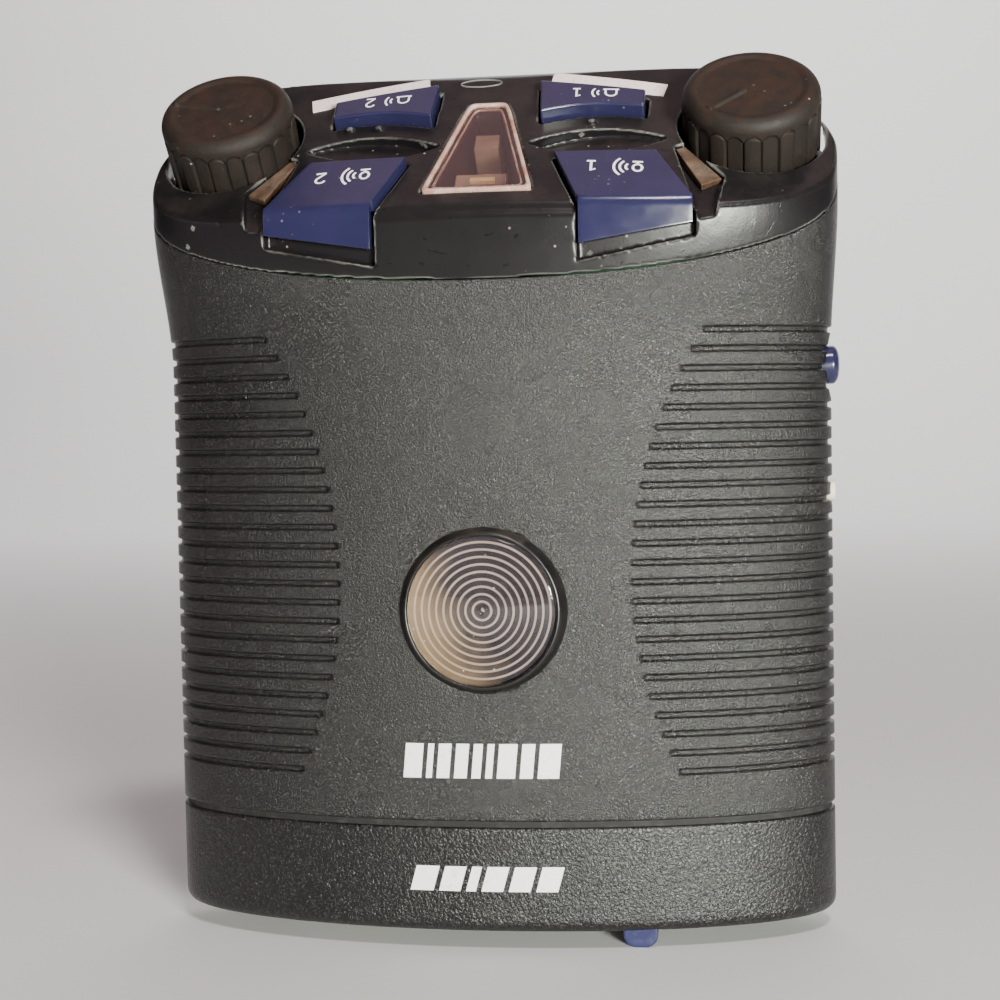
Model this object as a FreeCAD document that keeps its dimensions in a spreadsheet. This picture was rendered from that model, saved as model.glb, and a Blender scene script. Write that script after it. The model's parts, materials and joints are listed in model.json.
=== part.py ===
import FreeCAD, Part

import math
import os

from FreeCAD import Placement, Rotation, Vector

# Two-channel intercom bodypack. Millimetres, +Z up, X to the right, the front faces -Y.
# The origin is the middle of the flat underside of the base cap.

os.makedirs("parts", exist_ok=True)
doc = FreeCAD.newDocument("bodypack")
sheet = doc.addObject("Spreadsheet::Sheet", "sizes")

SIZES = {
    # case: plan outline (lens shape) and its flare towards the panel
    "half_width": 50.2,
    "flare": 1.0,
    "nose_back": 3.0,
    "front_reach": 15.1,
    "lip_reach": 16.9,
    "rear_reach": 16.4,
    "wall": 2.2,
    "flare_start": 82.0,
    "flare_end": 106.0,
    # control panel: slope, height of its front edge, crown across it, thickness of the cap
    "panel_tilt": 42.8,
    "panel_front_height": 105.3,
    "panel_front_back": 15.1,
    "crown_radius": 280.0,
    "cap_depth": 7.85,
    "cap_floor": 6.2,
    "notch_floor": 4.6,
    "crest_radius": 6.0,
    # base and seam
    "base_height": 15.4,
    "seam_gap": 0.9,
    "base_floor": 2.6,
    "base_edge": 1.8,
    # grooves
    "groove_top": 86.2,
    "groove_pitch": 2.742,
    "groove_width": 1.0,
    "groove_depth": 0.55,
    "groove_middle": 51.0,
    "groove_inner": 20.9,
    "groove_sweep": 64.0,
    # knobs and potentiometers
    "knob_across": 38.92,
    "knob_up": 18.29,
    "knob_radius": 10.05,
    "knob_top": 4.8,
    "knob_bottom": 6.3,
    "well_gap": 0.7,
    "shaft_radius": 3.0,
    "shaft_play": 0.05,
    "pot_radius": 6.2,
    # buttons
    "talk_rise": 1.4,
    "call_rise": 1.9,
    "button_gap": 0.35,
    "button_travel": 1.0,
    "button_under": 2.6,
    "post_radius": 1.5,
    "post_end": 5.3,
    # boards
    "board": 1.6,
    "control_board_top": 9.9,
    "main_board_back": 5.0,
    "main_board_half": 34.0,
    "main_board_low": 28.0,
    "main_board_high": 96.0,
    # badge
    "badge_height": 46.8,
    "badge_radius": 10.75,
    "bezel_radius": 12.3,
    # side controls
    "side_button_height": 81.1,
    "side_button_radius": 2.85,
    "trimmer_height": 62.5,
    "trimmer_radius": 1.55,
    # connectors in the base
    "socket_across": 21.6,
    "socket_back": 1.0,
    "socket_radius": 9.4,
    "socket_top": 26.0,
    # belt clip
    "clip_seat": 16.0,
    "clip_plate": 2.2,
    "clip_half": 12.0,
    "clip_gap": 5.1,
    "clip_lever": 1.7,
    "clip_pin_height": 91.0,
    "clip_pin_radius": 1.5,
    "clip_low": 42.0,
    "clip_high": 102.0,
}
for row, (alias, value) in enumerate(SIZES.items(), start=1):
    sheet.set(f"A{row}", alias)
    sheet.set(f"B{row}", str(value))
    sheet.setAlias(f"B{row}", alias)
doc.recompute()


def size(alias):
    """One driving dimension, read back from the sheet."""
    return float(sheet.get(alias))


X_AXIS = Vector(1, 0, 0)
Y_AXIS = Vector(0, 1, 0)
Z_AXIS = Vector(0, 0, 1)
TILT = math.radians(size("panel_tilt"))
SLOPE = Vector(0, math.cos(TILT), math.sin(TILT))
NORMAL = Vector(0, -math.sin(TILT), math.cos(TILT))
PANEL_EDGE = Vector(0, -size("panel_front_back"), size("panel_front_height"))
PANEL = Placement(PANEL_EDGE, Rotation(X_AXIS, size("panel_tilt")))
SIDES = {"left": -1, "right": 1}
FAR = 200.0
nodes = {}


def keep(label, item):
    """Name a finished sub-part; its label is its node name."""
    item.Label = label
    nodes[label] = item
    return item


def feature(label, shape):
    """A sub-part whose shape is worked out with Part's own functions."""
    item = doc.addObject("Part::Feature", label)
    item.Shape = shape
    return keep(label, item)


def bound(kind, name, placement=None, **expressions):
    """A Part primitive whose sizes are bound to the sheet."""
    item = doc.addObject(kind, name)
    for prop, expression in expressions.items():
        item.setExpression(prop, expression)
    if placement is not None:
        item.Placement = placement
    return item


def fuse(name, *items):
    item = doc.addObject("Part::MultiFuse", name)
    item.Shapes = list(items)
    return item


def cut(name, base, tool):
    item = doc.addObject("Part::Cut", name)
    item.Base = base
    item.Tool = tool
    return item


def on_panel(across, up, out=0.0, turn=0.0):
    """Placement on the sloping panel: across it, up its slope and out of its surface."""
    spot = Placement(Vector(across, up, out), Rotation(Z_AXIS, turn))
    return PANEL.multiply(spot)


def along(axis, x, y, z):
    """Placement at a point with the part's own Z turned onto an axis."""
    return Placement(Vector(x, y, z), Rotation(Z_AXIS, axis))


def panel_prism(points, low, high):
    """Solid on a panel outline, from low to high along the panel's normal."""
    corners = [Vector(x, up, low) for x, up in points]
    face = Part.Face(Part.makePolygon(corners + corners[:1]))
    solid = face.extrude(Vector(0, 0, high - low))
    solid.Placement = PANEL
    return solid


def mirrored(points, side):
    """Panel outline for the left or the right half."""
    return [(side * x, up) for x, up in points]


# ---------------------------------------------------------------- case outline

OUTLINE_STEPS = 16
LEVELS = (-4, 8, 20, 32.7, 43.7, 54.7, 68.4, 76.6, 82.1, 88, 94, 100, 106, 114, 128, 142)


def blend(height):
    """0 below the flare, 1 above it, with an even start and end."""
    share = (height - size("flare_start")) / (size("flare_end") - size("flare_start"))
    share = min(max(share, 0.0), 1.0)
    return share * share * (3 - 2 * share)


def half_outline(height, half, middle, reach, power):
    """One side of the lens-shaped plan outline, from the left nose to the right one."""
    points = []
    shares = [step / OUTLINE_STEPS for step in range(OUTLINE_STEPS + 1)]
    for share in shares:
        angle = math.pi * share
        x = -half * math.cos(angle)
        depth = max(0.0, 1 - abs(x / half) ** power) ** (1 / power)
        points.append(Vector(x, middle + reach * depth, height))
    curve = Part.BSplineCurve()
    curve.interpolate(Points=points, Parameters=shares)
    return curve.toShape()


def case_section(height, inset):
    share = blend(height)
    half = size("half_width") + size("flare") * share - inset
    middle = size("nose_back") * (1 - share)
    front = size("front_reach") + (size("lip_reach") - size("front_reach")) * share
    front_half = half_outline(height, half, middle, -(front + middle - inset), 2 + 0.6 * share)
    rear_half = half_outline(height, half, middle, size("rear_reach") - middle - inset, 2.0)
    return Part.Wire([front_half, rear_half])


def case_solid(inset=0.0):
    """The whole case as one block, smaller by the inset."""
    return Part.makeLoft([case_section(level, inset) for level in LEVELS], True, False)


def crown_solid(rise=0.0):
    """Everything below the panel's gently crowned surface, raised by rise."""
    radius = size("crown_radius")
    axis_point = PANEL_EDGE - NORMAL * radius - SLOPE * FAR / 2
    return Part.makeCylinder(radius + rise, FAR, axis_point, SLOPE)


def below_panel(depth):
    """Half space under the plane that lies depth below the panel."""
    box = Part.makeBox(FAR, 2 * FAR, FAR, Vector(-FAR / 2, -FAR, -FAR - depth))
    box.Placement = PANEL
    return box


def between(low, high):
    return Part.makeBox(FAR, FAR, high - low, Vector(-FAR / 2, -FAR / 2, low))


def crest_solid():
    """Side profile that rounds the back of the panel over into the rear face."""
    radius = size("crest_radius")
    rear = size("rear_reach") + 0.2
    run = rear - radius + radius * -math.sin(TILT)
    rise = math.tan(TILT)
    touch = Vector(0, run, size("panel_front_height") + (run + size("panel_front_back")) * rise)
    centre = touch - NORMAL * radius
    top = centre + Vector(0, 0, radius)
    end = Vector(0, rear, centre.z)
    start = touch - SLOPE * 60
    lift = NORMAL * 6
    arc = Part.Arc(touch, top, end).toShape()
    edges = [
        Part.makeLine(Vector(0, start.y, -20), start + lift),
        Part.makeLine(start + lift, touch + lift),
        Part.makeLine(touch + lift, touch),
        arc,
        Part.makeLine(end, Vector(0, rear, -20)),
        Part.makeLine(Vector(0, rear, -20), Vector(0, start.y, -20)),
    ]
    face = Part.Face(Part.Wire(edges))
    solid = face.extrude(Vector(FAR, 0, 0))
    solid.translate(Vector(-FAR / 2, 0, 0))
    return solid


outer = case_solid()
inner = case_solid(size("wall"))
mid_wall = case_solid(size("wall") * 0.6)
seam_top = size("base_height") + size("seam_gap")
middle_y = size("nose_back")
REST_OF_CASE = below_panel(size("cap_depth")).common(between(seam_top, FAR))

# ---------------------------------------------------------------- front and rear shells


def groove_solids():
    """The band of grooves round both noses; the inner ends lie on a wide arc."""
    count = 24
    width = size("groove_width")
    band = case_solid(-2.0).cut(case_solid(size("groove_depth")))
    slabs = []
    for index in range(count):
        centre = size("groove_top") - index * size("groove_pitch")
        sweep = size("groove_sweep")
        fall = sweep - math.sqrt(sweep ** 2 - (centre - size("groove_middle")) ** 2)
        reach = size("groove_inner") + fall
        for side in SIDES.values():
            low = Vector(reach if side > 0 else -reach - 60, -60, centre - width / 2)
            slabs.append(Part.makeBox(60, 120, width, low))
    return band.common(Part.makeCompound(slabs))


def boss(x, y, z, axis, radius, length):
    return Part.makeCylinder(radius, length, Vector(x, y, z), axis)


CASE_SCREWS = [(x, z) for x in (-40.5, 40.5) for z in (30.0, 92.0)]
BOARD_SCREWS = [(x, z) for x in (-28.0, 28.0) for z in (34.0, 88.0)]
BASE_SCREWS = [-8.0, 9.6]
side_height = size("side_button_height")
side_hole = boss(40, middle_y, side_height, X_AXIS, size("side_button_radius") + 0.35, 20)
side_scoop = Part.makeSphere(9.0, Vector(57.7, middle_y, side_height + 0.2))
trimmer_hole = boss(40, middle_y, size("trimmer_height"), X_AXIS, size("trimmer_radius") + 0.35, 20)
badge_seat = boss(0, -30, size("badge_height"), Y_AXIS, size("bezel_radius"), 16.6)
badge_hole = boss(0, -30, size("badge_height"), Y_AXIS, size("badge_radius") - 2, 25)
side_cuts = [side_hole, side_scoop, trimmer_hole]
grooves = groove_solids()
hollow = outer.cut(inner).common(REST_OF_CASE)
in_front = Part.makeBox(FAR, FAR, FAR, Vector(-FAR / 2, middle_y - FAR, 0))
behind = Part.makeBox(FAR, FAR, FAR, Vector(-FAR / 2, middle_y, 0))


def front_shell():
    shell = hollow.common(in_front)
    towers = [boss(x, -30, z, Y_AXIS, 3.0, 30 + middle_y) for x, z in CASE_SCREWS]
    towers.append(boss(0, BASE_SCREWS[0], seam_top, Z_AXIS, 3.0, 10))
    towers.append(Part.makeBox(3, 8, 10, Vector(-1.5, -15, seam_top)))
    inside = [tower.common(mid_wall) for tower in towers]
    shell = shell.fuse(inside)
    bores = [boss(x, -4, z, Y_AXIS, 1.0, 10) for x, z in CASE_SCREWS]
    bores.append(boss(0, BASE_SCREWS[0], seam_top - 1, Z_AXIS, 1.0, 9))
    return shell.cut(bores + side_cuts + [badge_seat, badge_hole, grooves])


def rear_shell():
    shell = hollow.common(behind)
    towers = [boss(x, middle_y, z, Y_AXIS, 3.0, 30) for x, z in CASE_SCREWS]
    towers += [boss(x, size("main_board_back") + size("board"), z, Y_AXIS, 2.6, 30)
               for x, z in BOARD_SCREWS]
    towers.append(boss(0, BASE_SCREWS[1], seam_top, Z_AXIS, 3.0, 10))
    towers.append(Part.makeBox(3, 6, 10, Vector(-1.5, 11, seam_top)))
    towers.append(Part.makeBox(26, 6, 44, Vector(-13, 12.8, 58)))
    inside = [tower.common(mid_wall) for tower in towers]
    shell = shell.fuse(inside)
    cuts = [boss(x, 0, z, Y_AXIS, 1.5, 30) for x, z in CASE_SCREWS]
    cuts += [boss(x, 8.6, z, Y_AXIS, 2.7, 30) for x, z in CASE_SCREWS]
    cuts += [boss(x, 6, z, Y_AXIS, 0.9, 6) for x, z in BOARD_SCREWS]
    cuts.append(boss(0, BASE_SCREWS[1], seam_top - 1, Z_AXIS, 1.0, 9))
    cuts.append(Part.makeBox(26, 20, FAR, Vector(-13, size("clip_seat"), -10)))
    cuts += [boss(x, 12.5, z, Y_AXIS, 1.0, 10) for x, z in CLIP_SCREWS]
    return shell.cut(cuts + side_cuts + [grooves])


CLIP_SCREWS = [(x, z) for x in (-7.5, 7.5) for z in (67.0, 78.0)]
feature("front_shell", front_shell())
feature("rear_shell", rear_shell())

# ---------------------------------------------------------------- top cap and what is cut into it

TALK_OUTLINE = [(10.8, 8.8), (25.3, 9.6), (30.5, -0.6), (30.9, -9.5), (14.7, -9.5), (14.7, -2.3)]
CALL_OUTLINE = [(7.7, 26.7), (23.5, 24.4), (23.4, 20.0), (19.8, 20.5), (16.0, 20.3),
                (12.0, 19.6), (8.1, 18.4)]
WINDOW_OUTLINE = [(8.1, 1.5), (3.6, 21.1), (2.8, 23.5), (-2.8, 23.5), (-3.6, 21.1), (-8.1, 1.5)]
LAMP_OUTLINE = [(28.0, 12.5), (29.3, 13.3), (34.6, 6.0), (31.7, 4.1)]
LAMP_NOTCH = [(27.8, 12.6), (29.4, 13.6), (34.9, 6.0), (33.4, -3.2), (31.5, -3.2)]
DOTS = [(-20.8, 19.1), (-16.3, 18.7), (15.6, 18.2)]


def grown(points, gap):
    """The same outline moved outwards by the gap."""
    wire = Part.makePolygon([Vector(x, up, 0) for x, up in points + points[:1]])
    bigger = wire.makeOffset2D(gap, 2, False, False, True)
    return [(vertex.X, vertex.Y) for vertex in bigger.OrderedVertexes]


def crown_fall(across):
    """How far the crowned surface lies below the middle of the panel."""
    return across ** 2 / (2 * size("crown_radius"))


def sloped_floor(side, inner_z, outer_z):
    """Everything above a line across the front of one large button."""
    inner_x = 14.0 * side
    outer_x = 32.0 * side
    corners = [Vector(inner_x, -FAR / 2, inner_z), Vector(outer_x, -FAR / 2, outer_z),
               Vector(outer_x, -FAR / 2, FAR), Vector(inner_x, -FAR / 2, FAR)]
    if side < 0:
        corners.reverse()
    face = Part.Face(Part.makePolygon(corners + corners[:1]))
    return face.extrude(Vector(0, FAR, 0))


def talk_notch(side):
    """Recess for a large button: a pocket in the panel that runs over the front edge."""
    outline = grown(mirrored(TALK_OUTLINE, side), size("button_gap"))
    pocket = panel_prism(outline, -size("notch_floor"), 10)
    front = panel_prism(outline, -40, 10)
    skin = case_solid(-3.0).cut(case_solid(2.1))
    skin = front.common(skin).common(sloped_floor(side, 95.9, 99.3))
    return [pocket, skin]


def crescent(side):
    """Finger scoop between the two buttons of one side."""
    left = Vector(6.5, 13.2, -2.0)
    right = Vector(26.9, 14.8, -2.0)
    back = Part.Arc(left, Vector(17.2, 16.5, -2.0), right).toShape()
    front = Part.Arc(right, Vector(17.5, 10.9, -2.0), left).toShape()
    solid = Part.Face(Part.Wire([back, front])).extrude(Vector(0, 0, 8))
    if side < 0:
        solid = solid.mirror(Vector(0, 0, 0), X_AXIS)
    solid.Placement = PANEL
    return solid


def well(side, radius, low):
    centre = on_panel(side * size("knob_across"), size("knob_up"), low)
    solid = Part.makeCylinder(radius, 60)
    solid.Placement = centre
    return solid


def post_hole(across, up):
    solid = Part.makeCylinder(size("post_radius") + 0.4, 20)
    solid.Placement = on_panel(across, up, -10)
    return solid


TALK_POST = (20.4, 4.0)
CALL_POST = (15.6, 22.8)
block = outer.common(crown_solid()).common(crest_solid())
upper = block.cut(below_panel(size("cap_depth")))
cap = upper.cut(case_solid(4.4).common(below_panel(size("cap_floor"))))
cap_cuts = [panel_prism(grown(WINDOW_OUTLINE, 0.05), -20, 10)]
for side in SIDES.values():
    cap_cuts += talk_notch(side)
    cap_cuts.append(panel_prism(grown(mirrored(CALL_OUTLINE, side), size("button_gap")),
                                -size("notch_floor"), 10))
    cap_cuts.append(crescent(side))
    cap_cuts.append(well(side, size("knob_radius") + size("well_gap"), -30))
    cap_cuts.append(panel_prism(mirrored(LAMP_NOTCH, side), -crown_fall(31) - 1.6, 10))
    cap_cuts.append(post_hole(side * TALK_POST[0], TALK_POST[1]))
    cap_cuts.append(post_hole(side * CALL_POST[0], CALL_POST[1]))
cap = cap.cut(cap_cuts)
for across, up in DOTS:
    dot = Part.makeSphere(0.9)
    dot.Placement = on_panel(across, up, -crown_fall(across) - 0.35)
    cap = cap.fuse(dot)
feature("top_cap", cap)

# ---------------------------------------------------------------- base cap and seam gasket


def base_cap():
    radius = size("base_edge")
    angles = [math.radians(18 * step) for step in range(6)]
    rounds = [case_section(radius * (1 - math.cos(a)), radius * (1 - math.sin(a))) for a in angles]
    rounds.append(case_section(size("base_height"), 0.0))
    wall = size("wall")
    pocket = [case_section(height, wall) for height in (size("base_floor"), seam_top)]
    shell = Part.makeLoft(rounds, True, True).cut(Part.makeLoft(pocket, True, True))
    posts = [boss(0, y, 0.5, Z_AXIS, 3.0, size("base_height") - 0.5) for y in BASE_SCREWS]
    shell = shell.fuse(posts)
    cuts = [boss(0, y, -1, Z_AXIS, 1.5, 30) for y in BASE_SCREWS]
    cuts += [boss(0, y, -1, Z_AXIS, 2.7, 3.2) for y in BASE_SCREWS]
    for side in SIDES.values():
        centre = (side * size("socket_across"), size("socket_back"))
        cuts.append(boss(centre[0], centre[1], -1, Z_AXIS, size("socket_radius") + 0.1, 12))
    slot_x = size("socket_across") - LATCH_HALF - 0.35
    slot = Part.makeBox(2 * LATCH_HALF + 0.7, LATCH_DEEP + 0.7, 20,
                        Vector(slot_x, LATCH_FRONT - 0.35, -1))
    return shell.cut(cuts + [slot])


LATCH_HALF = 2.5
LATCH_DEEP = 2.4
LATCH_FRONT = -11.6
feature("base_cap", base_cap())
gasket_levels = (size("base_height"), seam_top)
gasket = [Part.makeLoft([case_section(level, inset) for level in gasket_levels], True, True)
          for inset in (0.5, 1.9)]
feature("seam_gasket", gasket[0].cut(gasket[1]))

# ---------------------------------------------------------------- badge on the front


def badge():
    height = size("badge_height")
    radius = size("badge_radius")
    bezel_radius = size("bezel_radius")
    foot = -13.4
    profile = [Vector(radius - 1.5, foot, 0), Vector(bezel_radius, foot, 0),
               Vector(bezel_radius, foot - 0.9, 0), Vector(radius + 0.25, foot - 3.1, 0),
               Vector(radius, foot - 3.1, 0), Vector(radius, foot - 1.0, 0),
               Vector(radius - 1.5, foot - 1.0, 0)]
    ring = Part.Face(Part.makePolygon(profile + profile[:1]))
    bezel = ring.revolve(Vector(0, 0, 0), Y_AXIS, 360)
    bezel.translate(Vector(0, 0, height))
    disc = Part.makeCylinder(radius - 0.05, 0.6, Vector(0, foot - 1.0, height), Vector(0, -1, 0))
    dome_radius = 46.0
    dome_top = foot - 3.9
    dome = Part.makeSphere(dome_radius, Vector(0, dome_top + dome_radius, height))
    lens = Part.makeCylinder(radius - 0.05, 10, Vector(0, foot - 1.6, height), Vector(0, -1, 0))
    return bezel, disc, lens.common(dome)


for label, shape in zip(("badge_bezel", "badge_disc", "badge_lens"), badge()):
    feature(label, shape)

# ---------------------------------------------------------------- window, light package, lamps


def window_lens():
    """Clear trapezoid cover: a lid with thin walls that reach down into the cap."""
    rim = panel_prism(WINDOW_OUTLINE, -5.0, 0.35)
    inset = [(5.9, 2.4), (2.55, 20.6), (2.0, 22.7), (-2.0, 22.7), (-2.55, 20.6), (-5.9, 2.4)]
    wide = [(x * 1.18 if up < 5 else x, up) for x, up in inset]
    return rim.cut(panel_prism(wide, -6.0, -0.9))


feature("window_lens", window_lens())
light_base = Part.makeBox(7.4, 5.6, 7.5, Vector(-3.7, 2.9, -9.9))
light_step = Part.makeBox(3.6, 3.6, 7.1, Vector(-1.8, 15.4, -9.9))
light_tray = Part.makeBox(7.4, 16.1, 0.5, Vector(-3.7, 2.9, -9.9))
light_block = light_base.fuse([light_step, light_tray])
light_block.Placement = PANEL
feature("light_block", light_block)
light_bars = Part.makeCompound([Part.makeBox(5.0, 1.0, 0.5, Vector(-2.9, 3.7, -2.4)),
                                Part.makeBox(3.6, 1.0, 0.5, Vector(-1.5, 6.1, -2.4))])
light_bars.Placement = PANEL
feature("light_bars", light_bars)
lamp_skin = crown_solid(-0.4)
for name, side in SIDES.items():
    lamp = panel_prism(mirrored(LAMP_OUTLINE, side), -crown_fall(31) - 1.6, 10)
    feature(f"indicator_{name}", lamp.common(lamp_skin))

# ---------------------------------------------------------------- buttons on the panel


def raised_case(rise):
    solid = outer.copy()
    solid.translate(NORMAL * rise)
    return solid.common(crown_solid(rise))


def post(across, up):
    top = -size("button_under") + 0.6
    solid = Part.makeCylinder(size("post_radius"), top + size("post_end"))
    solid.Placement = on_panel(across, up, -size("post_end"))
    return solid


def talk_button(side):
    """Large button: a lid on the panel with a skirt that hangs over the front edge."""
    skin = raised_case(size("talk_rise"))
    column = panel_prism(mirrored(TALK_OUTLINE, side), -40, 10)
    whole = column.common(skin).common(sloped_floor(side, 98.1, 101.0))
    hollow_part = outer.copy()
    hollow_part.translate(Vector(0, 0.6, -1.2))
    hollow_part = hollow_part.common(below_panel(size("button_under")))
    return whole.cut(hollow_part).fuse(post(side * TALK_POST[0], TALK_POST[1]))


def call_button(side):
    """Small button at the back of the panel."""
    column = panel_prism(mirrored(CALL_OUTLINE, side), -size("button_under"), 10)
    lid = column.common(crown_solid(size("call_rise")))
    return lid.fuse(post(side * CALL_POST[0], CALL_POST[1]))


for name, side in SIDES.items():
    feature(f"talk_button_{name}", talk_button(side))
    feature(f"call_button_{name}", call_button(side))

# ---------------------------------------------------------------- knobs, shafts, potentiometers


def knob(name, side):
    place = on_panel(side * size("knob_across"), size("knob_up"), -size("knob_bottom"))
    body = bound("Part::Cylinder", f"knob_body_{name}", place, Radius="sizes.knob_radius - 0.35",
                 Height="sizes.knob_top + sizes.knob_bottom")
    flutes = doc.addObject("Part::Feature", f"knob_flutes_{name}")
    count = 12
    bars = []
    for index in range(count):
        angle = 2 * math.pi * index / count
        reach = size("knob_radius") - 1.55
        bar = Part.makeCylinder(1.55, size("knob_top") + size("knob_bottom") - 2.2,
                                Vector(reach * math.cos(angle), reach * math.sin(angle), 0))
        bars.append(bar)
    flutes.Shape = Part.makeCompound(bars)
    flutes.Placement = place
    pointer = bound("Part::Box", f"knob_pointer_{name}", None, Length="7.5", Width="0.9",
                    Height="0.6")
    turn = {"left": 168.0, "right": 222.0}[name]
    top = on_panel(side * size("knob_across"), size("knob_up"), size("knob_top") - 0.3, turn)
    pointer.Placement = top.multiply(Placement(Vector(1.5, -0.45, 0), Rotation()))
    bore = bound("Part::Cylinder", f"knob_bore_{name}", place, Radius="sizes.shaft_radius",
                 Height="sizes.knob_bottom + 1")
    solid = fuse(f"knob_solid_{name}", body, flutes, pointer)
    keep(f"knob_{name}", cut(f"knob_cut_{name}", solid, bore))


def shaft_and_pot(name, side):
    across = side * size("knob_across")
    up = size("knob_up")
    floor = -size("control_board_top")
    keep(f"pot_shaft_{name}",
         bound("Part::Cylinder", f"shaft_{name}", on_panel(across, up, floor + 0.4),
               Radius="sizes.shaft_radius", Height="sizes.control_board_top + 0.6"))
    case = bound("Part::Cylinder", f"pot_case_{name}", on_panel(across, up, floor),
                 Radius="sizes.pot_radius", Height="sizes.control_board_top - 7.1")
    bore = bound("Part::Cylinder", f"pot_bore_{name}", on_panel(across, up, floor + 0.35),
                 Radius="sizes.shaft_radius + sizes.shaft_play", Height="10")
    room = doc.addObject("Part::Feature", f"pot_room_{name}")
    room.Shape = case_solid(size("wall") + 0.4)
    trimmed = doc.addObject("Part::Common", f"pot_trimmed_{name}")
    trimmed.Base = case
    trimmed.Tool = room
    keep(f"pot_{name}", cut(f"pot_cut_{name}", trimmed, bore))


for name, side in SIDES.items():
    knob(name, side)
    shaft_and_pot(name, side)

# ---------------------------------------------------------------- boards, switches, ribbon


def control_board():
    depth = size("control_board_top")
    slab = case_solid(size("wall") + 0.6).common(below_panel(depth))
    board = slab.cut(below_panel(depth + size("board")))
    front = Part.makeBox(FAR, FAR, FAR, Vector(-FAR / 2, -FAR - 13.0 + 3.2, 0))
    rear = Part.makeBox(FAR, FAR, FAR, Vector(-FAR / 2, 12.0, 0))
    return board.cut([front, rear])


feature("control_board", control_board())


def main_board():
    """Upright circuit board on four bosses of the rear shell, with its components."""
    body = doc.addObject("PartDesign::Body", "main_board_body")
    plane = [item for item in body.Origin.OriginFeatures if item.Role == "XZ_Plane"][0]
    sketch = body.newObject("Sketcher::SketchObject", "main_board_outline")
    sketch.AttachmentSupport = (plane, "")
    sketch.MapMode = "FlatFace"
    half = size("main_board_half")
    low = size("main_board_low")
    high = size("main_board_high")
    corners = [Vector(-half, low, 0), Vector(half, low, 0), Vector(half, high, 0),
               Vector(-half, high, 0)]
    for start, end in zip(corners, corners[1:] + corners[:1]):
        sketch.addGeometry(Part.LineSegment(start, end), False)
    for x, z in BOARD_SCREWS:
        sketch.addGeometry(Part.Circle(Vector(x, z, 0), Z_AXIS, 1.3), False)
    pad = body.newObject("PartDesign::Pad", "main_board_pad")
    pad.Profile = sketch
    pad.setExpression("Length", "sizes.board")
    body.Tip = pad
    body.Placement = Placement(Vector(0, size("main_board_back") + size("board"), 0), Rotation())
    return body


keep("main_board", main_board())
chips = [Part.makeBox(w, 1.6, t, Vector(x, size("main_board_back") - 1.6, z))
         for x, z, w, t in ((-24, 40, 10, 10), (-6, 44, 12, 12), (12, 38, 8, 6), (-22, 62, 6, 12),
                            (2, 66, 14, 7), (20, 58, 6, 9))]
caps = [boss(x, size("main_board_back"), z, Vector(0, -1, 0), 3.1, 7.0)
        for x, z in ((-12, 34), (8, 33), (24, 46))]
feature("board_components", Part.makeCompound(chips + caps))


def tact_switch(across, up):
    body = Part.makeBox(6, 6, 2.9, Vector(across - 3, up - 3, -size("control_board_top")))
    stem = Part.makeCylinder(1.6, 0.9, Vector(across, up, -7.5))
    switch = body.fuse(stem)
    switch.Placement = PANEL
    return switch


def mirrored_pair(make, spot):
    return [(name, make(side * spot[0], spot[1])) for name, side in SIDES.items()]


for name, shape in mirrored_pair(tact_switch, TALK_POST):
    feature(f"talk_switch_{name}", shape)
for name, shape in mirrored_pair(tact_switch, CALL_POST):
    feature(f"call_switch_{name}", shape)


def ribbon():
    """Flat lead from the upright board up to the panel board."""
    start_y = size("main_board_back") + size("board")
    end_z = 104.4
    low = Part.makeBox(14, 0.5, end_z - 90, Vector(-7, start_y + 0.9, 90))
    plug = Part.makeBox(15, 0.9, 5, Vector(-7.5, start_y, 90))
    return low.fuse(plug)


feature("board_ribbon", ribbon())


def pan_screw(x, y, z, axis, head, shank, length):
    """Pan-head screw: the head starts at the point and the shank runs along the axis."""
    top = boss(x, y, z, axis, head, 1.4)
    body = boss(x, y, z, axis, shank, length)
    return top.fuse(body)


feature("board_screws", Part.makeCompound(
    [pan_screw(x, size("main_board_back") - 1.4, z, Y_AXIS, 2.2, 0.85, 8.0) for x, z in BOARD_SCREWS]))
feature("case_screws", Part.makeCompound(
    [pan_screw(x, 10.0, z, Vector(0, -1, 0), 2.5, 0.95, 12.0) for x, z in CASE_SCREWS]))
feature("base_screws", Part.makeCompound(
    [pan_screw(0, y, 0.8, Z_AXIS, 2.5, 0.95, 22.0) for y in BASE_SCREWS]))

# ---------------------------------------------------------------- side button and trimmer

SIDE_FACE = size("half_width")


def side_button():
    radius = size("side_button_radius")
    stem = boss(43.6, middle_y, side_height, X_AXIS, radius, SIDE_FACE - 43.6 + 0.2)
    flange = boss(43.6, middle_y, side_height, X_AXIS, radius + 0.9, 1.0)
    ball = Part.makeSphere(5.0, Vector(SIDE_FACE + 1.2 - 5.0, middle_y, side_height))
    tip = boss(SIDE_FACE - 1.0, middle_y, side_height, X_AXIS, radius, 3.0).common(ball)
    return stem.fuse([flange, tip])


feature("side_button", side_button())
feature("side_switch", Part.makeBox(4.0, 6.0, 6.0, Vector(38.2, middle_y - 3, side_height - 3)))
trimmer = Part.makeBox(4.5, 5.6, 5.6, Vector(41.6, middle_y - 2.8, size("trimmer_height") - 2.8))
trimmer_bore = boss(42.4, middle_y, size("trimmer_height"), X_AXIS, size("trimmer_radius") + 0.05, 9)
feature("trimmer_body", trimmer.cut(trimmer_bore))
rotor = boss(42.6, middle_y, size("trimmer_height"), X_AXIS, size("trimmer_radius"),
             SIDE_FACE + 0.35 - 42.6)
slot = Part.makeBox(1.0, 0.5, 2.4, Vector(SIDE_FACE - 0.25, middle_y - 0.25,
                                          size("trimmer_height") - 1.2))
feature("trimmer_rotor", rotor.cut(slot))
feature("side_board", Part.makeBox(1.2, 7.0, 32.0, Vector(37.0, middle_y - 3.5, 56.0)))

# ---------------------------------------------------------------- connectors in the base


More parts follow.
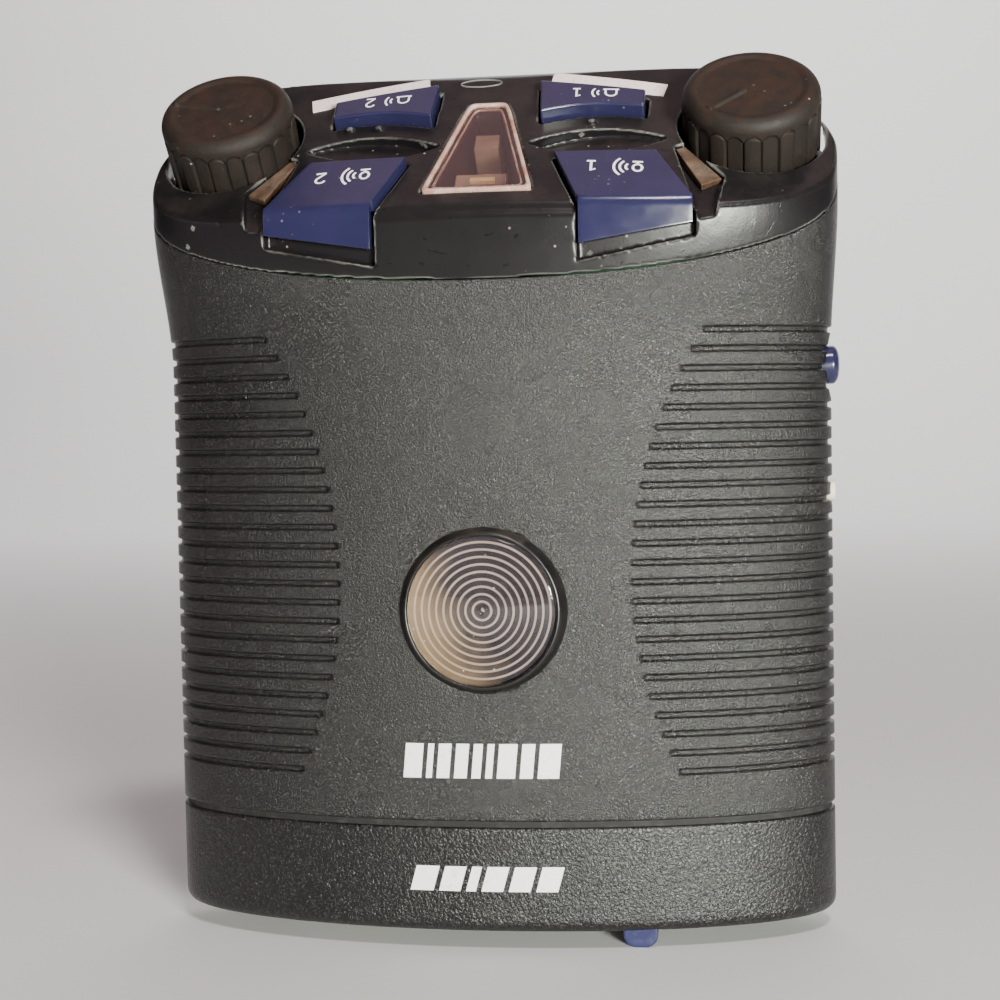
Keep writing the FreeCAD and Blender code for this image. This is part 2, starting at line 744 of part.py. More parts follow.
def ring_shell(x, y, low, high, outer_radius, inner_radius, floor):
    """Round metal shell, open at the bottom, closed by a floor plate at the top."""
    tube = boss(x, y, low, Z_AXIS, outer_radius, high - low)
    return tube.cut(boss(x, y, low - 1, Z_AXIS, inner_radius, high - low - floor + 1))


def ring_spots(count, radius, start):
    angles = [math.radians(start + 360.0 * index / count) for index in range(count)]
    return [(radius * math.cos(angle), radius * math.sin(angle)) for angle in angles]


def connectors():
    radius = size("socket_radius")
    y = size("socket_back")
    top = size("socket_top")
    left = -size("socket_across")
    right = size("socket_across")
    headset_shell = ring_shell(left, y, 0.3, top, radius, radius - 1.1, 1.5)
    insert_low = 16.0
    insert = boss(left, y, insert_low, Z_AXIS, radius - 1.1, top - 1.5 - insert_low)
    pin_spots = ring_spots(4, 4.2, 45)
    pins = [boss(left + dx, y + dy, 4.5, Z_AXIS, 1.2, top + 2 - 4.5) for dx, dy in pin_spots]
    holes = [boss(left + dx, y + dy, 0, Z_AXIS, 1.2, 40) for dx, dy in pin_spots]
    feature("headset_shell", headset_shell.cut(holes))
    feature("headset_insert", insert.cut(holes))
    feature("headset_pins", Part.makeCompound(pins))
    line_shell = ring_shell(right, y, 0.3, top, radius, radius - 1.1, 1.5)
    core = boss(right, y, 1.2, Z_AXIS, radius - 2.6, top - 1.5 - 1.2)
    base = boss(right, y, top - 4.5, Z_AXIS, radius - 1.1, 3.0)
    spots = ring_spots(3, 3.6, 90)
    bores = [boss(right + dx, y + dy, 0, Z_AXIS, 1.6, 40) for dx, dy in spots]
    contacts = []
    for dx, dy in spots:
        sleeve = boss(right + dx, y + dy, 2.2, Z_AXIS, 1.6, top + 2 - 2.2)
        contacts.append(sleeve.cut(boss(right + dx, y + dy, 1.0, Z_AXIS, 1.2, 14)))
    feature("line_shell", line_shell.cut(bores))
    feature("line_insert", core.fuse(base).cut(bores))
    feature("line_contacts", Part.makeCompound(contacts))


connectors()


def line_latch():
    """Push tab of the latching socket; its rounded tip hangs below the base."""
    tip = 2.6
    tab = Part.makeBox(2 * LATCH_HALF, LATCH_DEEP, 9.6,
                       Vector(size("socket_across") - LATCH_HALF, LATCH_FRONT, -tip))
    corners = [edge for edge in tab.Edges
               if abs(edge.BoundBox.ZMax + tip) < 0.01 and edge.BoundBox.YLength > 1]
    return tab.makeFillet(1.8, corners)


feature("line_latch", line_latch())

# ---------------------------------------------------------------- blank tape labels on the crest


def tape(points):
    strip = panel_prism(points, -4, 6)
    lifted = block.copy()
    lifted.translate(NORMAL * 0.18)
    return strip.common(lifted).cut(block)


feature("label_tape_right", tape([(9.0, 28.0), (26.0, 25.4), (26.6, 28.4), (9.4, 31.2)]))
feature("label_tape_left", tape([(-9.5, 27.9), (-27.6, 25.2), (-28.2, 28.2), (-9.9, 31.0)]))

# ---------------------------------------------------------------- belt clip at the rear


def clip_bracket():
    half = size("clip_half")
    seat = size("clip_seat")
    plate_back = seat + size("clip_plate")
    plate = Part.makeBox(2 * half, size("clip_plate"), 38, Vector(-half, seat, 62))
    ears = []
    for x in (-half, half - 1.4):
        ear = Part.makeBox(1.4, 6.2, 11, Vector(x, plate_back - 0.5, 85.5))
        ears.append(ear)
    solid = plate.fuse(ears)
    holes = [boss(x, seat - 1, z, Y_AXIS, 1.2, 5) for x, z in CLIP_SCREWS]
    holes += [boss(x, plate_back - 1.45, z, Y_AXIS, 2.15, 5) for x, z in CLIP_SCREWS]
    pin_hole = boss(-half - 1, PIN_Y, size("clip_pin_height"), X_AXIS, size("clip_pin_radius"), 30)
    return solid.cut(holes + [pin_hole])


def clip_lever():
    """Sprung lever with a thumb tab above the pin and a hooked lower end."""
    half = size("clip_half") - 1.75
    inside = size("clip_seat") + size("clip_plate") + size("clip_gap")
    thick = size("clip_lever")
    low = size("clip_low")
    plate = Part.makeBox(2 * half, thick, size("clip_high") - low, Vector(-half, inside, low))
    sharp = [edge for edge in plate.Edges if edge.BoundBox.YLength > 1 and edge.Length < 3]
    plate = plate.makeFillet(4.0, sharp)
    hook = Part.makeBox(2 * half - 9, inside - size("clip_seat") - 1.2, 1.8,
                        Vector(-half + 4.5, size("clip_seat") + 1.2, low))
    lugs = []
    for x in (-half, half - 3.4):
        lugs.append(boss(x, PIN_Y, size("clip_pin_height"), X_AXIS, 2.4, 3.4))
        lugs.append(Part.makeBox(3.4, inside - PIN_Y, 4.8,
                                 Vector(x, PIN_Y, size("clip_pin_height") - 2.4)))
    solid = plate.fuse([hook] + lugs)
    bore = boss(-half - 1, PIN_Y, size("clip_pin_height"), X_AXIS, size("clip_pin_radius") + 0.05, 30)
    return solid.cut(bore)


def torsion_spring():
    """Coil round the pin with one leg on the bracket and one behind the lever."""
    wire = 0.6
    inside = 1.65
    height = size("clip_pin_height")
    turns = []
    for index in range(6):
        x = -4.5 + index * 1.35
        turn = boss(x, PIN_Y, height, X_AXIS, inside + wire, wire)
        turns.append(turn.cut(boss(x - 1, PIN_Y, height, X_AXIS, inside, wire + 2)))
    middle = inside + wire / 2
    bracket_leg = Part.makeBox(wire, wire, 9, Vector(-4.5, PIN_Y - middle - wire / 2, height - 9))
    lever_leg = Part.makeBox(wire, wire, 9, Vector(2.25, PIN_Y + middle - wire / 2, height - 9))
    link = Part.makeBox(7.35, wire, wire, Vector(-4.5, PIN_Y - wire / 2, height + middle - wire / 2))
    return turns[0].fuse(turns[1:] + [bracket_leg, lever_leg, link])


PIN_Y = size("clip_seat") + size("clip_plate") + 2.6
feature("clip_bracket", clip_bracket())
feature("clip_lever", clip_lever())
feature("clip_spring", torsion_spring())
pin_length = 2 * size("clip_half") + 0.6
keep("clip_pin", bound("Part::Cylinder", "pin", along(X_AXIS, -pin_length / 2, PIN_Y,
                                                      size("clip_pin_height")),
                       Radius="sizes.clip_pin_radius", Height="2 * sizes.clip_half + 0.6"))
feature("clip_screws", Part.makeCompound(
    [pan_screw(x, size("clip_seat") + size("clip_plate"), z, Vector(0, -1, 0), 2.1, 0.95, 6.4)
     for x, z in CLIP_SCREWS]))

# ---------------------------------------------------------------- check and write

doc.recompute()
for item in doc.Objects:
    if "Invalid" in item.State or "Error" in item.State:
        raise RuntimeError(f"{item.Name} failed: {item.State}")
faulty = [label for label, item in nodes.items()
          if item.Shape.isNull() or not item.Shape.isValid()]
if faulty:
    raise RuntimeError(f"no valid shape: {faulty}")
for label, item in nodes.items():
    shape = item.Shape
    shape.exportStep(f"parts/{label}.step")
    box = shape.BoundBox
    print(f"{label:20s} solids {len(shape.Solids)} volume {shape.Volume:9.1f} "
          f"x {box.XMin:6.1f} {box.XMax:6.1f} y {box.YMin:6.1f} {box.YMax:6.1f} "
          f"z {box.ZMin:6.1f} {box.ZMax:6.1f}")
print(len(nodes), "nodes")
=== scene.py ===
import json
import math

import bmesh
import bpy
import numpy as np
from mathutils import Matrix, Vector


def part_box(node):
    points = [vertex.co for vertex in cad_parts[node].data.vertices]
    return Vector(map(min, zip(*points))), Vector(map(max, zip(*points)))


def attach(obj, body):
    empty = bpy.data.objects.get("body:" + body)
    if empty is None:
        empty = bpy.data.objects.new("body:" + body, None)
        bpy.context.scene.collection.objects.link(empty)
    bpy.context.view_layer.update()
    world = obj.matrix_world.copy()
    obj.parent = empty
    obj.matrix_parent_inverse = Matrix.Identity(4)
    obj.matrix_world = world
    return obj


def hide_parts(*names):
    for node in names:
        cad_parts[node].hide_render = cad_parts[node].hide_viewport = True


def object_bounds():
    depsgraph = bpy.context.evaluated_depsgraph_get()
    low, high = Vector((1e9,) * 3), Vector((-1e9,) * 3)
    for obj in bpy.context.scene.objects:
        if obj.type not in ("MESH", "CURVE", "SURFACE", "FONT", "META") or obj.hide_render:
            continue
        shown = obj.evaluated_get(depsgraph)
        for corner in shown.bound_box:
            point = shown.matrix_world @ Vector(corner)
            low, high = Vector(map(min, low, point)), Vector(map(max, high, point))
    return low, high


# Two-channel intercom bodypack: a lens-shaped moulded case with a sloping control panel,
# two knobs, five push buttons, a round badge, base sockets and a belt clip at the rear.
# Shapes are worked out in millimetres and scaled to metres as each mesh is written.

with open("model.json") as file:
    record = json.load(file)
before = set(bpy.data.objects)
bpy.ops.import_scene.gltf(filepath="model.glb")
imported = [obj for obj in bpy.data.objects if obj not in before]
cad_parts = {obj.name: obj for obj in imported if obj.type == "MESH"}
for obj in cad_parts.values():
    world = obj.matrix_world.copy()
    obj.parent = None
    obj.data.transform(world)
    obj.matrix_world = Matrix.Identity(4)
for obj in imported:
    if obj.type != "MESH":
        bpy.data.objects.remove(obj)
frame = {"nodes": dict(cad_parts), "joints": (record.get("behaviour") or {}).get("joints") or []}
cad_low, cad_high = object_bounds()
joints = {joint["name"]: joint for joint in frame["joints"]}

# ---- front and rear shells
# Two injection-moulded halves of black ABS with a fine sparked grain, screwed together from
# the rear. 24 finger grooves run round each nose; their inner ends lie on a wide arc.

MM = 0.001


def box_mm(node_name):
    """Low and high corners of a CAD solid in millimetres."""
    return [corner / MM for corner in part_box(node_name)]


case_low, case_high = box_mm("base_cap")
HALF_WIDTH = case_high.x
FRONT_REACH = -case_low.y
REAR_REACH = case_high.y
NOSE_BACK = 3.0
LIP_FLARE = 1.0
LIP_REACH = 16.9
SEAM_TOP = case_high.z + 0.9
CAP_DEPTH = 7.85
panel_normal = Vector(joints["knob_left_turn"]["axis"])
PANEL_TILT = math.atan2(-panel_normal.y, panel_normal.z)
panel_slope = Vector((0, math.cos(PANEL_TILT), math.sin(PANEL_TILT)))
left_turn = Vector(joints["knob_left_turn"]["pos_m"]) / MM
right_turn = Vector(joints["knob_right_turn"]["pos_m"]) / MM
edge_share = (left_turn.y + FRONT_REACH) / panel_slope.y
panel_edge = Vector((0, -FRONT_REACH, left_turn.z - edge_share * panel_slope.z))


def eased(share):
    """0 to 1 with a soft start and end."""
    share = np.clip(share, 0.0, 1.0)
    return share * share * (3 - 2 * share)


def case_outline(angle, height, inset=0.0):
    """Plan outline at one height: the front for angles up to pi, then the rear."""
    flare = eased((height - 82.0) / 24.0)
    half = HALF_WIDTH + LIP_FLARE * flare - inset
    middle = NOSE_BACK * (1 - flare)
    across = -half * np.cos(angle)
    power = 2 + 0.6 * flare
    share = np.clip(np.abs(across / half), 0, 1)
    front = (1 - share ** power) ** (1 / power)
    rear = np.sqrt(1 - share ** 2)
    reach = FRONT_REACH + (LIP_REACH - FRONT_REACH) * flare
    y_front = middle - (reach + middle - inset) * front
    y_rear = middle + (REAR_REACH - middle - inset) * rear
    return across, np.where(angle <= math.pi, y_front, y_rear)


def even_angles(start, end, step):
    """Angles whose outline points are the same distance apart."""
    fine = np.linspace(start, end, 4000)
    x, y = case_outline(fine, 50.0)
    run = np.concatenate([[0], np.cumsum(np.hypot(np.diff(x), np.diff(y)))])
    return np.interp(np.linspace(0, run[-1], int(run[-1] / step)), run, fine)


def parting_height(angle):
    """Height at which the case meets the cap: a plane parallel to the panel."""
    height = np.full_like(angle, 100.0)
    for _ in range(12):
        _, y = case_outline(angle, height)
        height = (panel_edge.z + (y - panel_edge.y) * math.tan(PANEL_TILT)
                  - CAP_DEPTH / math.cos(PANEL_TILT))
    return height


def mesh_piece(name, points, faces):
    """Mesh object from points in millimetres."""
    mesh = bpy.data.meshes.new(name)
    mesh.from_pydata((np.array(points, dtype=float) * MM).tolist(), [], faces)
    piece = bpy.data.objects.new(name, mesh)
    bpy.context.scene.collection.objects.link(piece)
    return piece


def grid_piece(name, points, closed=False):
    """Mesh object from rows of points in millimetres."""
    rows, columns = points.shape[:2]
    index = np.arange(rows * columns).reshape(rows, columns)
    if closed:
        index = np.concatenate([index, index[:, :1]], axis=1)
    quads = np.stack([index[:-1, :-1], index[:-1, 1:], index[1:, 1:], index[1:, :-1]], axis=-1)
    piece = mesh_piece(name, points.reshape(-1, 3), quads.reshape(-1, 4).tolist())
    piece.data.shade_smooth()
    return piece


GROOVE_TOP = 86.2
GROOVE_PITCH = 2.742
GROOVE_DEPTH = 0.55
GROOVE_SWEEP = 64.0
GROOVE_MIDDLE = 51.0
GROOVE_INNER = 20.9
GROOVES = [GROOVE_TOP - GROOVE_PITCH * index for index in range(24)]


def groove_mask(across, height):
    """1 at the bottom of a groove, 0 on the land between grooves."""
    mask = np.zeros_like(across)
    for centre in GROOVES:
        fall = math.sqrt(GROOVE_SWEEP ** 2 - (centre - GROOVE_MIDDLE) ** 2)
        reach = GROOVE_INNER + GROOVE_SWEEP - fall
        ends = eased((np.abs(across) - reach) / 0.9)
        side = 1 - eased((np.abs(height - centre) - 0.26) / 0.28)
        mask = np.maximum(mask, ends * side)
    return mask


def shell_rows():
    """Heights of the mesh rows, close together at the groove walls."""
    rows = [16.9, 17.6, 18.6, 19.6, 20.6, 21.6]
    for centre in reversed(GROOVES):
        rows += [centre + offset for offset in
                 (-1.1, -0.7, -0.54, -0.42, -0.32, -0.24, 0, 0.24, 0.32, 0.42, 0.54, 0.7, 1.1)]
    return sorted(set(round(row, 3) for row in rows))


def case_shell(name, start, end):
    angles = even_angles(start, end, 0.3)
    top = parting_height(angles)
    rolled_edge = [(SEAM_TOP, 1.6), (SEAM_TOP, 0.28), (SEAM_TOP + 0.08, 0.08), (SEAM_TOP + 0.28, 0.0)]
    levels = [(np.full_like(angles, row), inset)
              for row, inset in rolled_edge + [(row, 0.0) for row in shell_rows()]]
    low = shell_rows()[-1]
    for share in np.linspace(0, 1, 30)[1:]:
        levels.append((low + (top - 0.22 - low) * share, 0.0))
    levels += [(top - 0.06, 0.06), (top, 0.22), (top, 1.6)]
    points = []
    for height, inset in levels:
        x, y = case_outline(angles, height, inset)
        x2, y2 = case_outline(angles, height, inset + 0.5)
        along = np.stack([x2 - x, y2 - y], axis=-1)
        along /= np.maximum(np.linalg.norm(along, axis=-1, keepdims=True), 1e-9)
        depth = GROOVE_DEPTH * groove_mask(x, height)
        ends = np.minimum(np.arange(len(angles)), np.arange(len(angles))[::-1])
        depth = depth + np.where(ends == 0, 0.25, np.where(ends == 1, 0.05, 0.0))
        x = x + along[:, 0] * depth
        y = y + along[:, 1] * depth
        x, y = side_hollows(x, y, height)
        if start < 1:
            y = badge_seat(x, y, height)
        if start > 1:
            y = rear_seats(x, y, height)
        points.append(np.stack([x, y, height], axis=-1))
    return grid_piece(name, np.array(points))


def side_hollows(x, y, height):
    """Thumb scoop and hole of the side button and the small hole of the trimmer."""
    side_low, side_high = box_mm("side_button")
    centre_z = (side_low.z + side_high.z) / 2
    off = np.hypot(y - NOSE_BACK, height - centre_z)
    scoop = 57.7 - np.sqrt(np.maximum(81.0 - off ** 2, 0.0))
    x = np.where((x > 30) & (off < 9.0), np.minimum(x, scoop), x)
    hole = 1 - eased((off - 3.05) / 0.3)
    trim_z = joints["trimmer_turn"]["pos_m"][2] / MM
    small = 1 - eased((np.hypot(y - NOSE_BACK, height - trim_z) - 1.75) / 0.3)
    return np.where(x > 30, x - 2.5 * np.maximum(hole, small), x), y


def badge_seat(x, y, height):
    """Round recess in the front that takes the badge."""
    low, high = box_mm("badge_bezel")
    off = np.hypot(x - (low.x + high.x) / 2, height - (low.z + high.z) / 2)
    seat_radius = 11.4
    seat_y = -12.6
    inside = 1 - eased((off - seat_radius) / 0.4)
    return y + inside * (seat_y - y)


def rear_seats(x, y, height):
    """Flat seat of the clip bracket and four recessed screw wells."""
    clip_seat = 16.0
    well_floor_y = 9.9
    seat = np.where(np.abs(x) < 13.0, np.minimum(y, clip_seat), y)
    for screw_x in (-40.5, 40.5):
        for screw_z in (30.0, 92.0):
            off = np.hypot(x - screw_x, height - screw_z)
            inside = 1 - eased((off - 2.55) / 0.3)
            seat = seat - inside * np.maximum(seat - well_floor_y, 0)
    return seat


front_case = case_shell("front_case", 0.0, math.pi)
rear_case = case_shell("rear_case", math.pi + 1e-6, 2 * math.pi)


def shared_group(name, inputs, outputs):
    """Empty shader node group with named float, colour or vector sockets."""
    tree = bpy.data.node_groups.new(name, "ShaderNodeTree")
    for label, kind, value in inputs:
        socket = tree.interface.new_socket(label, in_out="INPUT", socket_type="NodeSocket" + kind)
        if value is not None:
            socket.default_value = value
    for label, kind in outputs:
        tree.interface.new_socket(label, in_out="OUTPUT", socket_type="NodeSocket" + kind)
    return tree, tree.nodes.new("NodeGroupInput"), tree.nodes.new("NodeGroupOutput")


def node(tree, kind, links=None, **settings):
    """Add a node, set its fields and values, and wire its inputs."""
    made = tree.nodes.new("ShaderNode" + kind)
    for field, value in settings.items():
        if hasattr(made, field):
            setattr(made, field, value)
    for socket, value in (links or {}).items():
        target = made.inputs[socket]
        if isinstance(value, bpy.types.NodeSocket):
            tree.links.new(value, target)
        else:
            target.default_value = value
    return made


def math_node(tree, operation, first, second=0.0, third=0.0):
    made = node(tree, "Math", {0: first, 1: second, 2: third}, operation=operation)
    return made.outputs[0]


def ramp(tree, value, low, high, out_low=0.0, out_high=1.0):
    """Remap a value between two levels, held at both ends."""
    made = node(tree, "MapRange", {"Value": value, "From Min": low, "From Max": high,
                                   "To Min": out_low, "To Max": out_high})
    return made.outputs["Result"]


def mix_colour(tree, share, first, second, blend="MIX"):
    made = node(tree, "Mix", data_type="RGBA", blend_type=blend)
    for socket, value in ((made.inputs[0], share), (made.inputs[6], first), (made.inputs[7], second)):
        if isinstance(value, bpy.types.NodeSocket):
            tree.links.new(value, socket)
        else:
            socket.default_value = value
    return made.outputs[2]


def noise(tree, place, scale, detail=2.0, rough=0.5, twist=0.0):
    """Fractal noise between 0 and 1."""
    made = node(tree, "TexNoise", {"Vector": place, "Scale": scale, "Detail": detail,
                                   "Roughness": rough, "Distortion": twist})
    return made.outputs["Fac"]


def object_place(tree):
    return node(tree, "TexCoord").outputs["Object"]


def grain_group():
    """Sparked mould grain: small worm-like pits with flecks on their crests."""
    tree, inlet, outlet = shared_group(
        "moulded_grain",
        [("Size", "Float", 0.35), ("Fleck", "Float", 0.5), ("Uneven", "Float", 0.5)],
        [("Height", "Float"), ("Flecks", "Float"), ("Cloud", "Float")])
    place = object_place(tree)
    per_metre = math_node(tree, "DIVIDE", 1000.0, inlet.outputs["Size"])
    fine = noise(tree, place, per_metre, 3.0, rough=0.62, twist=0.6)
    half = math_node(tree, "MULTIPLY", per_metre, 0.45)
    worm = noise(tree, place, half, 1.0, rough=0.5, twist=1.4)
    height = math_node(tree, "MULTIPLY_ADD", worm, 0.35, fine)
    crest = ramp(tree, fine, 0.54, 0.66)
    cloud = noise(tree, place, 55.0, 2.0)
    flecks = math_node(tree, "MULTIPLY", crest, inlet.outputs["Fleck"])
    uneven = math_node(tree, "MULTIPLY", cloud, inlet.outputs["Uneven"])
    tree.links.new(height, outlet.inputs["Height"])
    tree.links.new(flecks, outlet.inputs["Flecks"])
    tree.links.new(uneven, outlet.inputs["Cloud"])
    return tree


def dust_group():
    """Settled dust: specks everywhere and a film that lies thicker on upward faces."""
    tree, inlet, outlet = shared_group(
        "settled_dust",
        [("Specks", "Float", 0.5), ("Film", "Float", 0.2)],
        [("Mask", "Float"), ("Speck Mask", "Float")])
    place = object_place(tree)
    cells = node(tree, "TexVoronoi", {"Vector": place, "Scale": 700.0, "Randomness": 1.0})
    speck = ramp(tree, cells.outputs["Distance"], 0.16, 0.06)
    rare = noise(tree, place, 190.0, 2.0)
    chosen = math_node(tree, "MULTIPLY", speck, ramp(tree, rare, 0.55, 0.68))
    chosen = math_node(tree, "MULTIPLY", chosen, inlet.outputs["Specks"])
    facing = node(tree, "SeparateXYZ", {0: node(tree, "NewGeometry").outputs["Normal"]})
    up = ramp(tree, facing.outputs["Z"], 0.1, 0.9)
    patch = noise(tree, place, 140.0, 6.0, rough=0.7)
    film = math_node(tree, "MULTIPLY", up, ramp(tree, patch, 0.42, 0.7))
    film = math_node(tree, "MULTIPLY", film, inlet.outputs["Film"])
    both = node(tree, "Math", {0: chosen, 1: film}, operation="MAXIMUM")
    tree.links.new(both.outputs[0], outlet.inputs["Mask"])
    tree.links.new(chosen, outlet.inputs["Speck Mask"])
    return tree


moulded_grain = grain_group()
settled_dust = dust_group()
DUST = (0.30, 0.24, 0.19, 1)


def place_group(tree, group, values):
    made = tree.nodes.new("ShaderNodeGroup")
    made.node_tree = group
    for label, value in values.items():
        made.inputs[label].default_value = value
    return made


def dusted(tree, specks, film):
    """Mask of the settled dust."""
    return place_group(tree, settled_dust, {"Specks": specks, "Film": film}).outputs["Mask"]


def new_finish(name):
    """Material with a Principled shader ready to be wired."""
    material = bpy.data.materials.new(name)
    material.use_nodes = True
    tree = material.node_tree
    return material, tree, tree.nodes["Principled BSDF"]


def wired(tree, shader, base, gloss):
    """Feed the base colour and the roughness of a finish."""
    tree.links.new(base, shader.inputs["Base Color"])
    tree.links.new(gloss, shader.inputs["Roughness"])


def bumped(tree, shader, height, depth, distance=0.001):
    made = node(tree, "Bump", {"Height": height, "Strength": depth, "Distance": distance})
    tree.links.new(made.outputs[0], shader.inputs["Normal"])


def grained_plastic(name, dark, light, rough, size, fleck, depth, specks, film):
    """Black moulded plastic with a grain; dust sits in it."""
    material, tree, shader = new_finish(name)
    grain = place_group(tree, moulded_grain, {"Size": size, "Fleck": fleck, "Uneven": 1.0})
    dust = dusted(tree, specks, film)
    base = mix_colour(tree, grain.outputs["Flecks"], dark, light)
    base = mix_colour(tree, dust, base, DUST)
    gloss = ramp(tree, grain.outputs["Cloud"], 0.35, 0.65, rough - 0.04, rough + 0.05)
    gloss = math_node(tree, "MULTIPLY_ADD", dust, 0.3, gloss)
    wired(tree, shader, base, gloss)
    shader.inputs["Specular IOR Level"].default_value = 0.5
    bumped(tree, shader, grain.outputs["Height"], depth, 0.0002)
    return material


def finish_piece(piece, material, body, slot, *stands_for):
    piece.data.materials.append(material)
    if stands_for:
        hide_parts(*stands_for)
    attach(piece, body)


case_plastic = grained_plastic("case_plastic", (0.004, 0.0037, 0.0042, 1), (0.036, 0.036, 0.032, 1),
                               0.28, 0.27, 1.0, 0.9, 0.22, 0.02)
finish_piece(front_case, case_plastic, "case", "case", "front_shell")
finish_piece(rear_case, case_plastic, "case", "case", "rear_shell")

# ---- base cap and seam gasket
# A deeper-grained cap closes the case from below and carries the two sockets. It is held by
# two long screws, with a thin rubber gasket pinched in the seam.


def softened(node_name, name, voxel, rounds):
    """A moulded copy of a CAD solid: meshed evenly, then eased so its edges are rounded."""
    mesh = frame["nodes"][node_name].data.copy()
    cleaner = bmesh.new()
    cleaner.from_mesh(mesh)
    bmesh.ops.remove_doubles(cleaner, verts=cleaner.verts, dist=1e-6)
    cleaner.to_mesh(mesh)
    cleaner.free()
    piece = bpy.data.objects.new(name, mesh)
    bpy.context.scene.collection.objects.link(piece)
    skin = piece.modifiers.new("skin", "REMESH")
    skin.mode = "VOXEL"
    skin.voxel_size = voxel * MM
    skin.use_smooth_shade = True
    ease = piece.modifiers.new("ease", "SMOOTH")
    ease.factor = 0.5
    ease.iterations = rounds
    ready = piece.evaluated_get(bpy.context.evaluated_depsgraph_get())
    piece.data = bpy.data.meshes.new_from_object(ready)
    piece.modifiers.clear()
    piece.data.materials.clear()
    piece.data.shade_smooth()
    return piece


base_plastic = grained_plastic("base_plastic", (0.004, 0.0037, 0.0042, 1), (0.026, 0.026, 0.024, 1),
                               0.30, 0.42, 1.0, 0.9, 0.22, 0.02)
base_piece = softened("base_cap", "base_cap_moulded", 0.3, 4)
finish_piece(base_piece, base_plastic, "case", "base", "base_cap")


def mottled(name, texture, blend, low, high, gloss, bump):
    """Two tones and an uneven gloss from one noise: texture holds its scale, detail and roughness."""
    material, tree, shader = new_finish(name)
    cloud = noise(tree, object_place(tree), *texture)
    wired(tree, shader, mix_colour(tree, ramp(tree, cloud, *blend), low, high),
          ramp(tree, cloud, 0.3, 0.7, *gloss))
    bumped(tree, shader, cloud, *bump)
    return material


def rubber(name, dark, dusty, rough):
    """Soft black rubber greyed by dust."""
    material, tree, shader = new_finish(name)
    dust = dusted(tree, 1.0, 0.6)
    patch = noise(tree, object_place(tree), 600.0, 5.0, rough=0.7)
    share = math_node(tree, "MAXIMUM", dust,
                      ramp(tree, patch, 0.5, 0.75, 0.0, 0.6))
    tree.links.new(mix_colour(tree, share, dark, dusty), shader.inputs["Base Color"])
    shader.inputs["Roughness"].default_value = rough
    bumped(tree, shader, patch, 0.4, 0.0002)
    return material


gasket_rubber = rubber("gasket_rubber", (0.006, 0.006, 0.006, 1), (0.05, 0.045, 0.04, 1), 0.75)


def carry_over(node_name, material):
    """Keep a CAD solid as it is and give it its finish."""
    item = frame["nodes"][node_name]
    item.data.materials.clear()
    item.data.materials.append(material)


carry_over("seam_gasket", gasket_rubber)

# ---- top cap with the control panel
# One smooth semi-matt moulding with wells for the knobs, pockets for the buttons and two
# finger scoops. Its front lip is rounded, and its edges are lightened partly by rubbed wear and
# partly by a painted highlight; fine scratches cross it.


def on_panel(across, up, rise):
    """Point above the panel plane: across, up the slope, and out along its normal."""
    point = panel_edge + panel_slope * up + panel_normal * rise
    return Vector((across, point.y, point.z))


CROWN_RADIUS = 280.0


def crown_fall(across):
    """How far the crowned panel lies below its middle."""
    return across ** 2 / (2 * CROWN_RADIUS)


cap_piece = softened("top_cap", "top_cap_moulded", 0.27, 3)


def round_lip(piece):
    """Roll the panel over into the outside of the cap."""
    count = len(piece.data.vertices)
    points = np.zeros(count * 3)
    piece.data.vertices.foreach_get("co", points)
    points = points.reshape(-1, 3) / MM
    x, y, z = points.T
    edge = np.array(panel_edge)
    normal = np.array(panel_normal)
    below = -((points - edge) @ normal) - crown_fall(x)
    flare = eased((z - 82.0) / 24.0)
    half = HALF_WIDTH + LIP_FLARE * flare
    middle = NOSE_BACK * (1 - flare)
    power = 2 + 0.6 * flare
    reach = LIP_REACH
    front = y < middle
    dx = np.abs(x) / half
    dy = np.where(front, (middle - y) / (FRONT_REACH + (reach - FRONT_REACH) * flare + middle),
                  (y - middle) / (REAR_REACH - middle))
    power = np.where(front, power, 2.0)
    level = (dx ** power + dy ** power) ** (1 / power)
    plan = np.stack([x, y - middle], axis=-1)
    far = np.linalg.norm(plan, axis=-1)
    grow_x = dx ** (power - 1) * np.sign(x) / half
    span_y = np.where(front, reach + middle, REAR_REACH - middle)
    grow_y = dy ** (power - 1) * np.where(front, -1.0, 1.0) / span_y
    outward = np.stack([grow_x, grow_y, np.zeros(count)], axis=-1)
    slope_size = np.maximum(np.linalg.norm(outward, axis=-1), 1e-9)
    outward /= slope_size[:, None]
    inside = (1 - level) / slope_size
    radius = 1.35 - 0.75 * eased((np.abs(x) - 26.0) / 7.0)
    near = (below < radius) & (inside < radius) & (below > -0.5) & (inside > -0.5)
    a = radius - np.clip(below, 0, None)
    b = radius - np.clip(inside, 0, None)
    size = np.hypot(a, b)
    pull = np.where(near & (size > radius), 1 - radius / np.maximum(size, 1e-9), 0.0)
    points -= normal * (pull * a)[:, None]
    points -= outward * (pull * b)[:, None]
    piece.data.vertices.foreach_set("co", (points * MM).ravel())
    piece.data.update()


round_lip(cap_piece)


